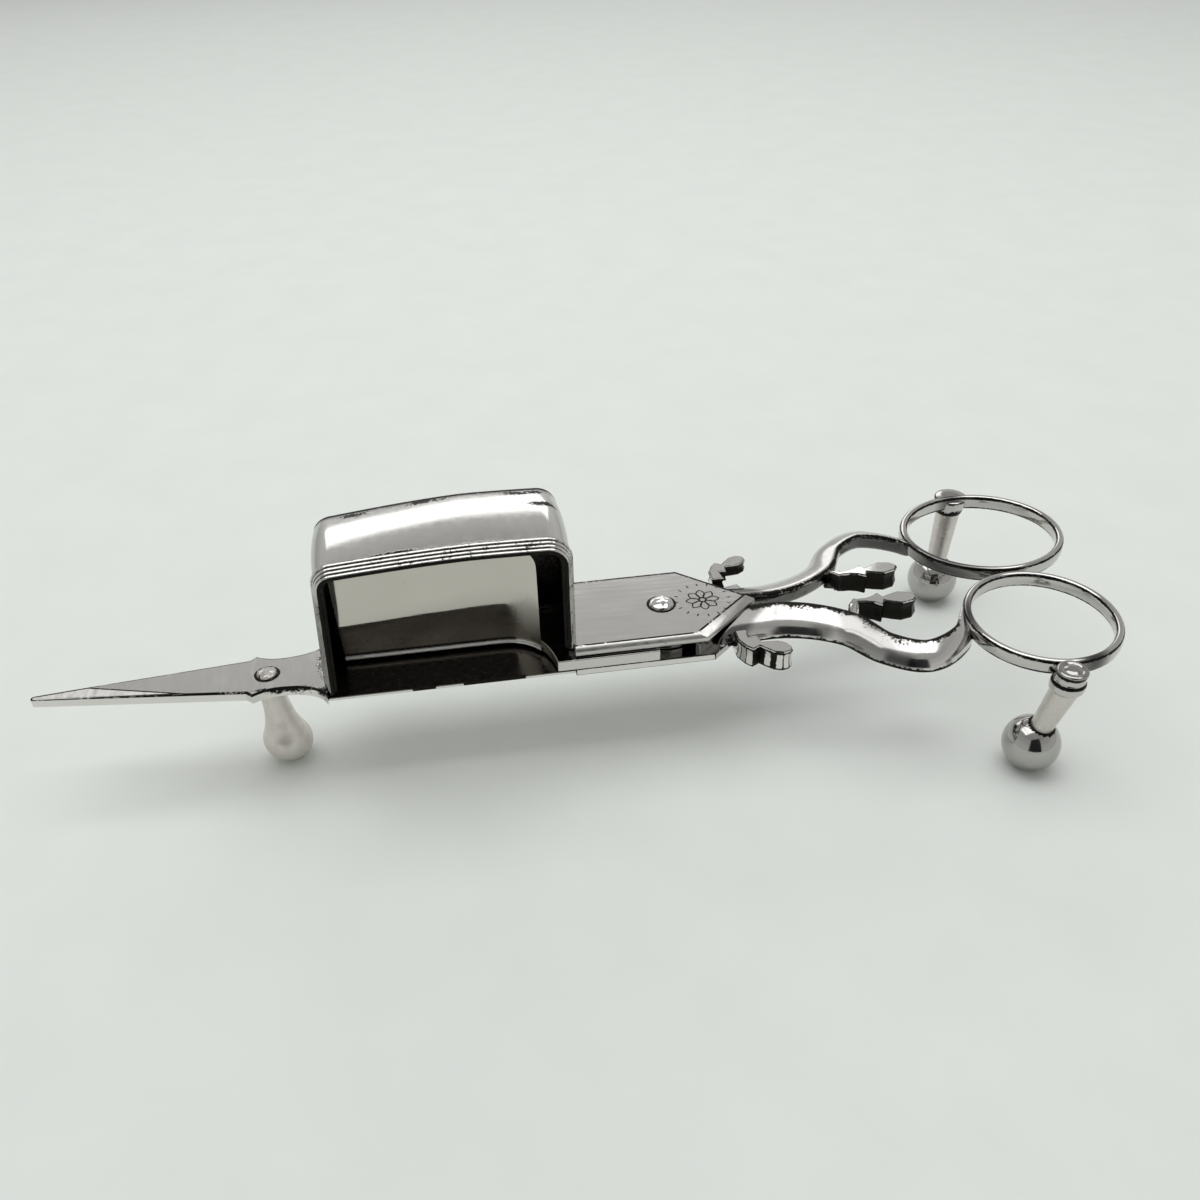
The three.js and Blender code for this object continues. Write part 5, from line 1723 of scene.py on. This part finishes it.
# Brightness of the room from level, 0, to straight up, 1
ROOM = ((0.0, 0.58), (0.30, 0.56), (0.50, 0.46), (0.62, 0.47), (0.74, 0.36), (1.0, 0.42))


class SNUFFER_OT_stage(Operator):
    """Make the pale table, the soft light and the camera"""
    bl_idname = "snuffer.stage"
    bl_label = "Table, light and camera"

    def execute(self, context):
        s = context.scene.snuffer_stage
        self.table(s)
        self.card()
        self.room(context, s)
        self.lamps(s)
        self.camera(context, s)
        return {"FINISHED"}

    def table(self, s):
        """Pale table with a faint cloud."""
        mesh = bpy.data.meshes.new("pale_table")
        square = ((-1, -1), (1, -1), (1, 1), (-1, 1))
        mesh.from_pydata([(x * TABLE_REACH, y * TABLE_REACH, 0) for x, y in square], [], [(0, 1, 2, 3)])
        material, tree = new_material("pale_table")
        coords = add(tree, "ShaderNodeTexCoord").outputs["Object"]
        shade = ranged(tree, grain(tree, coords, TABLE_GRAIN, 5.0), NOISE_LOW, NOISE_HIGH, 0.0, 1.0)
        tone = blended(tree, shade, tint(s.table), tint(s.table, 0.97))
        shader = made(tree, "ShaderNodeBsdfPrincipled", {"Base Color": tone, "Roughness": 0.75,
                                                         "Specular IOR Level": 0.2})
        add(tree, "ShaderNodeOutputMaterial", {"Surface": shader})
        mesh.materials.append(material)
        table = link("pale_table", mesh)

    def card(self):
        """Dark card behind the camera and two seams overhead, seen only in the silver."""
        points = [(x, CARD_PLACE, z) for x, z in ((CARD_LEFT, CARD_LOW), (CARD_RIGHT, CARD_LOW),
                                                  (CARD_RIGHT, CARD_HIGH), (CARD_LEFT, CARD_HIGH))]
        for left in SEAMS:
            right = left + SEAM_WIDTH
            points += [(left, *SEAM_FRONT), (right, *SEAM_FRONT), (right, *SEAM_BACK), (left, *SEAM_BACK)]
        mesh = bpy.data.meshes.new("dark_card")
        mesh.from_pydata(points, [], [range(i, i + 4) for i in range(0, len(points), 4)])
        material, tree = new_material("dark_card")
        shader = made(tree, "ShaderNodeBsdfPrincipled", {"Base Color": (0.012, 0.013, 0.015, 1.0),
                                                         "Roughness": 0.9})
        add(tree, "ShaderNodeOutputMaterial", {"Surface": shader})
        mesh.materials.append(material)
        card = link("dark_card", mesh)
        for ray in ("camera", "diffuse", "shadow", "transmission", "volume_scatter"):
            setattr(card, "visible_" + ray, False)

    def room(self, context, s):
        """Soft light all round; metal and camera see a pale room that greys with height."""
        world = bpy.data.worlds.new("pale_room")
        context.scene.world = world
        world.use_nodes = True
        tree = world.node_tree
        tree.nodes.clear()
        ways = add(tree, "ShaderNodeLightPath").outputs
        seen = maths(tree, "ADD", ways["Is Camera Ray"],
                     maths(tree, "ADD", ways["Is Glossy Ray"], ways["Is Transmission Ray"]))
        direction = add(tree, "ShaderNodeTexCoord").outputs["Generated"]
        up = add(tree, "ShaderNodeSeparateXYZ", {"Vector": direction}).outputs["Z"]
        ramp = add(tree, "ShaderNodeValToRGB", {"Fac": up})
        elements = ramp.color_ramp.elements
        while len(elements) < len(ROOM):
            elements.new(0.5)
        for element, (place, level) in zip(elements, ROOM):
            element.position = place
            element.color = (level, level * 1.005, level * 0.99, 1.0)
        shown = made(tree, "ShaderNodeBackground", {"Color": ramp.outputs[0], "Strength": 1.0})
        soft = made(tree, "ShaderNodeBackground", {"Color": (1.0, 1.0, 0.985, 1.0), "Strength": s.ambient})
        mixed = made(tree, "ShaderNodeMixShader", {0: seen, 1: soft, 2: shown})
        add(tree, "ShaderNodeOutputWorld", {"Surface": mixed})

    def lamps(self, s):
        """Soft lamps that the camera doesn't see."""
        for name, (power, (width, depth), place, towards) in LAMPS.items():
            lamp = bpy.data.lights.new(name, "AREA")
            lamp.shape = "RECTANGLE"
            lamp.size, lamp.size_y = width, depth
            lamp.energy = getattr(s, power)
            obj = link(name, lamp)
            obj.location = place
            obj.rotation_euler = (Vector(towards) - Vector(place)).to_track_quat("-Z", "Y").to_euler()
            obj.visible_camera = False

    def camera(self, context, s):
        """Camera fitted to the photo, about the pivot."""
        heading, down, roll = s.heading, s.down, s.roll
        forward = Vector((math.sin(heading) * math.cos(down), math.cos(heading) * math.cos(down),
                          -math.sin(down)))
        level = Vector((math.cos(heading), -math.sin(heading), 0))
        below = forward.cross(level)
        right = level * math.cos(roll) + below * math.sin(roll)
        low = below * math.cos(roll) - level * math.sin(roll)
        lens = bpy.data.cameras.new("photo_camera")
        lens.sensor_fit = "HORIZONTAL"
        lens.angle = s.view
        lens.clip_start = 0.005
        obj = link("photo_camera", lens)
        turned_to = Matrix((right, -low, -forward)).transposed().to_4x4()
        obj.matrix_world = Matrix.Translation(Vector(s.camera) + PIVOT) @ turned_to
        context.scene.camera = obj
        context.scene.view_settings.view_transform = "Standard"


OPERATORS = (SNUFFER_OT_tip, SNUFFER_OT_rivets, SNUFFER_OT_box, SNUFFER_OT_rim, SNUFFER_OT_fork,
             SNUFFER_OT_engraving, SNUFFER_OT_press, SNUFFER_OT_handles, SNUFFER_OT_leaves,
             SNUFFER_OT_rings, SNUFFER_OT_feet, SNUFFER_OT_solder, SNUFFER_OT_stage)
SETTINGS = {"snuffer_finish": SnufferFinish, "snuffer_tip": SnufferTip, "snuffer_box": SnufferBox,
            "snuffer_fork": SnufferFork, "snuffer_press": SnufferPress,
            "snuffer_handles": SnufferHandles, "snuffer_leaves": SnufferLeaves,
            "snuffer_rings": SnufferRings, "snuffer_feet": SnufferFeet, "snuffer_stage": SnufferStage}


class SNUFFER_PT_panel(Panel):
    """Lists the snuffer's pieces and their settings"""
    bl_idname = "SNUFFER_PT_panel"
    bl_label = "Candle snuffer scissors"
    bl_space_type = "VIEW_3D"
    bl_region_type = "UI"
    bl_category = "Snuffer"

    def draw(self, context):
        for operator in OPERATORS:
            self.layout.operator(operator.bl_idname)
        for name, group in SETTINGS.items():
            box = self.layout.box()
            box.label(text=group.__doc__)
            for setting in group.__annotations__:
                box.prop(getattr(context.scene, name), setting)


def register():
    for cls in (*SETTINGS.values(), *OPERATORS, SNUFFER_PT_panel):
        bpy.utils.register_class(cls)
    for name, group in SETTINGS.items():
        setattr(bpy.types.Scene, name, PointerProperty(type=group))


def unregister():
    for name in SETTINGS:
        delattr(bpy.types.Scene, name)
    for cls in (SNUFFER_PT_panel, *reversed(OPERATORS), *reversed(SETTINGS.values())):
        bpy.utils.unregister_class(cls)


def main():
    register()
    for operator in OPERATORS:
        family, name = operator.bl_idname.split(".")
        getattr(getattr(bpy.ops, family), name)()


if __name__ == "__main__":
    main()
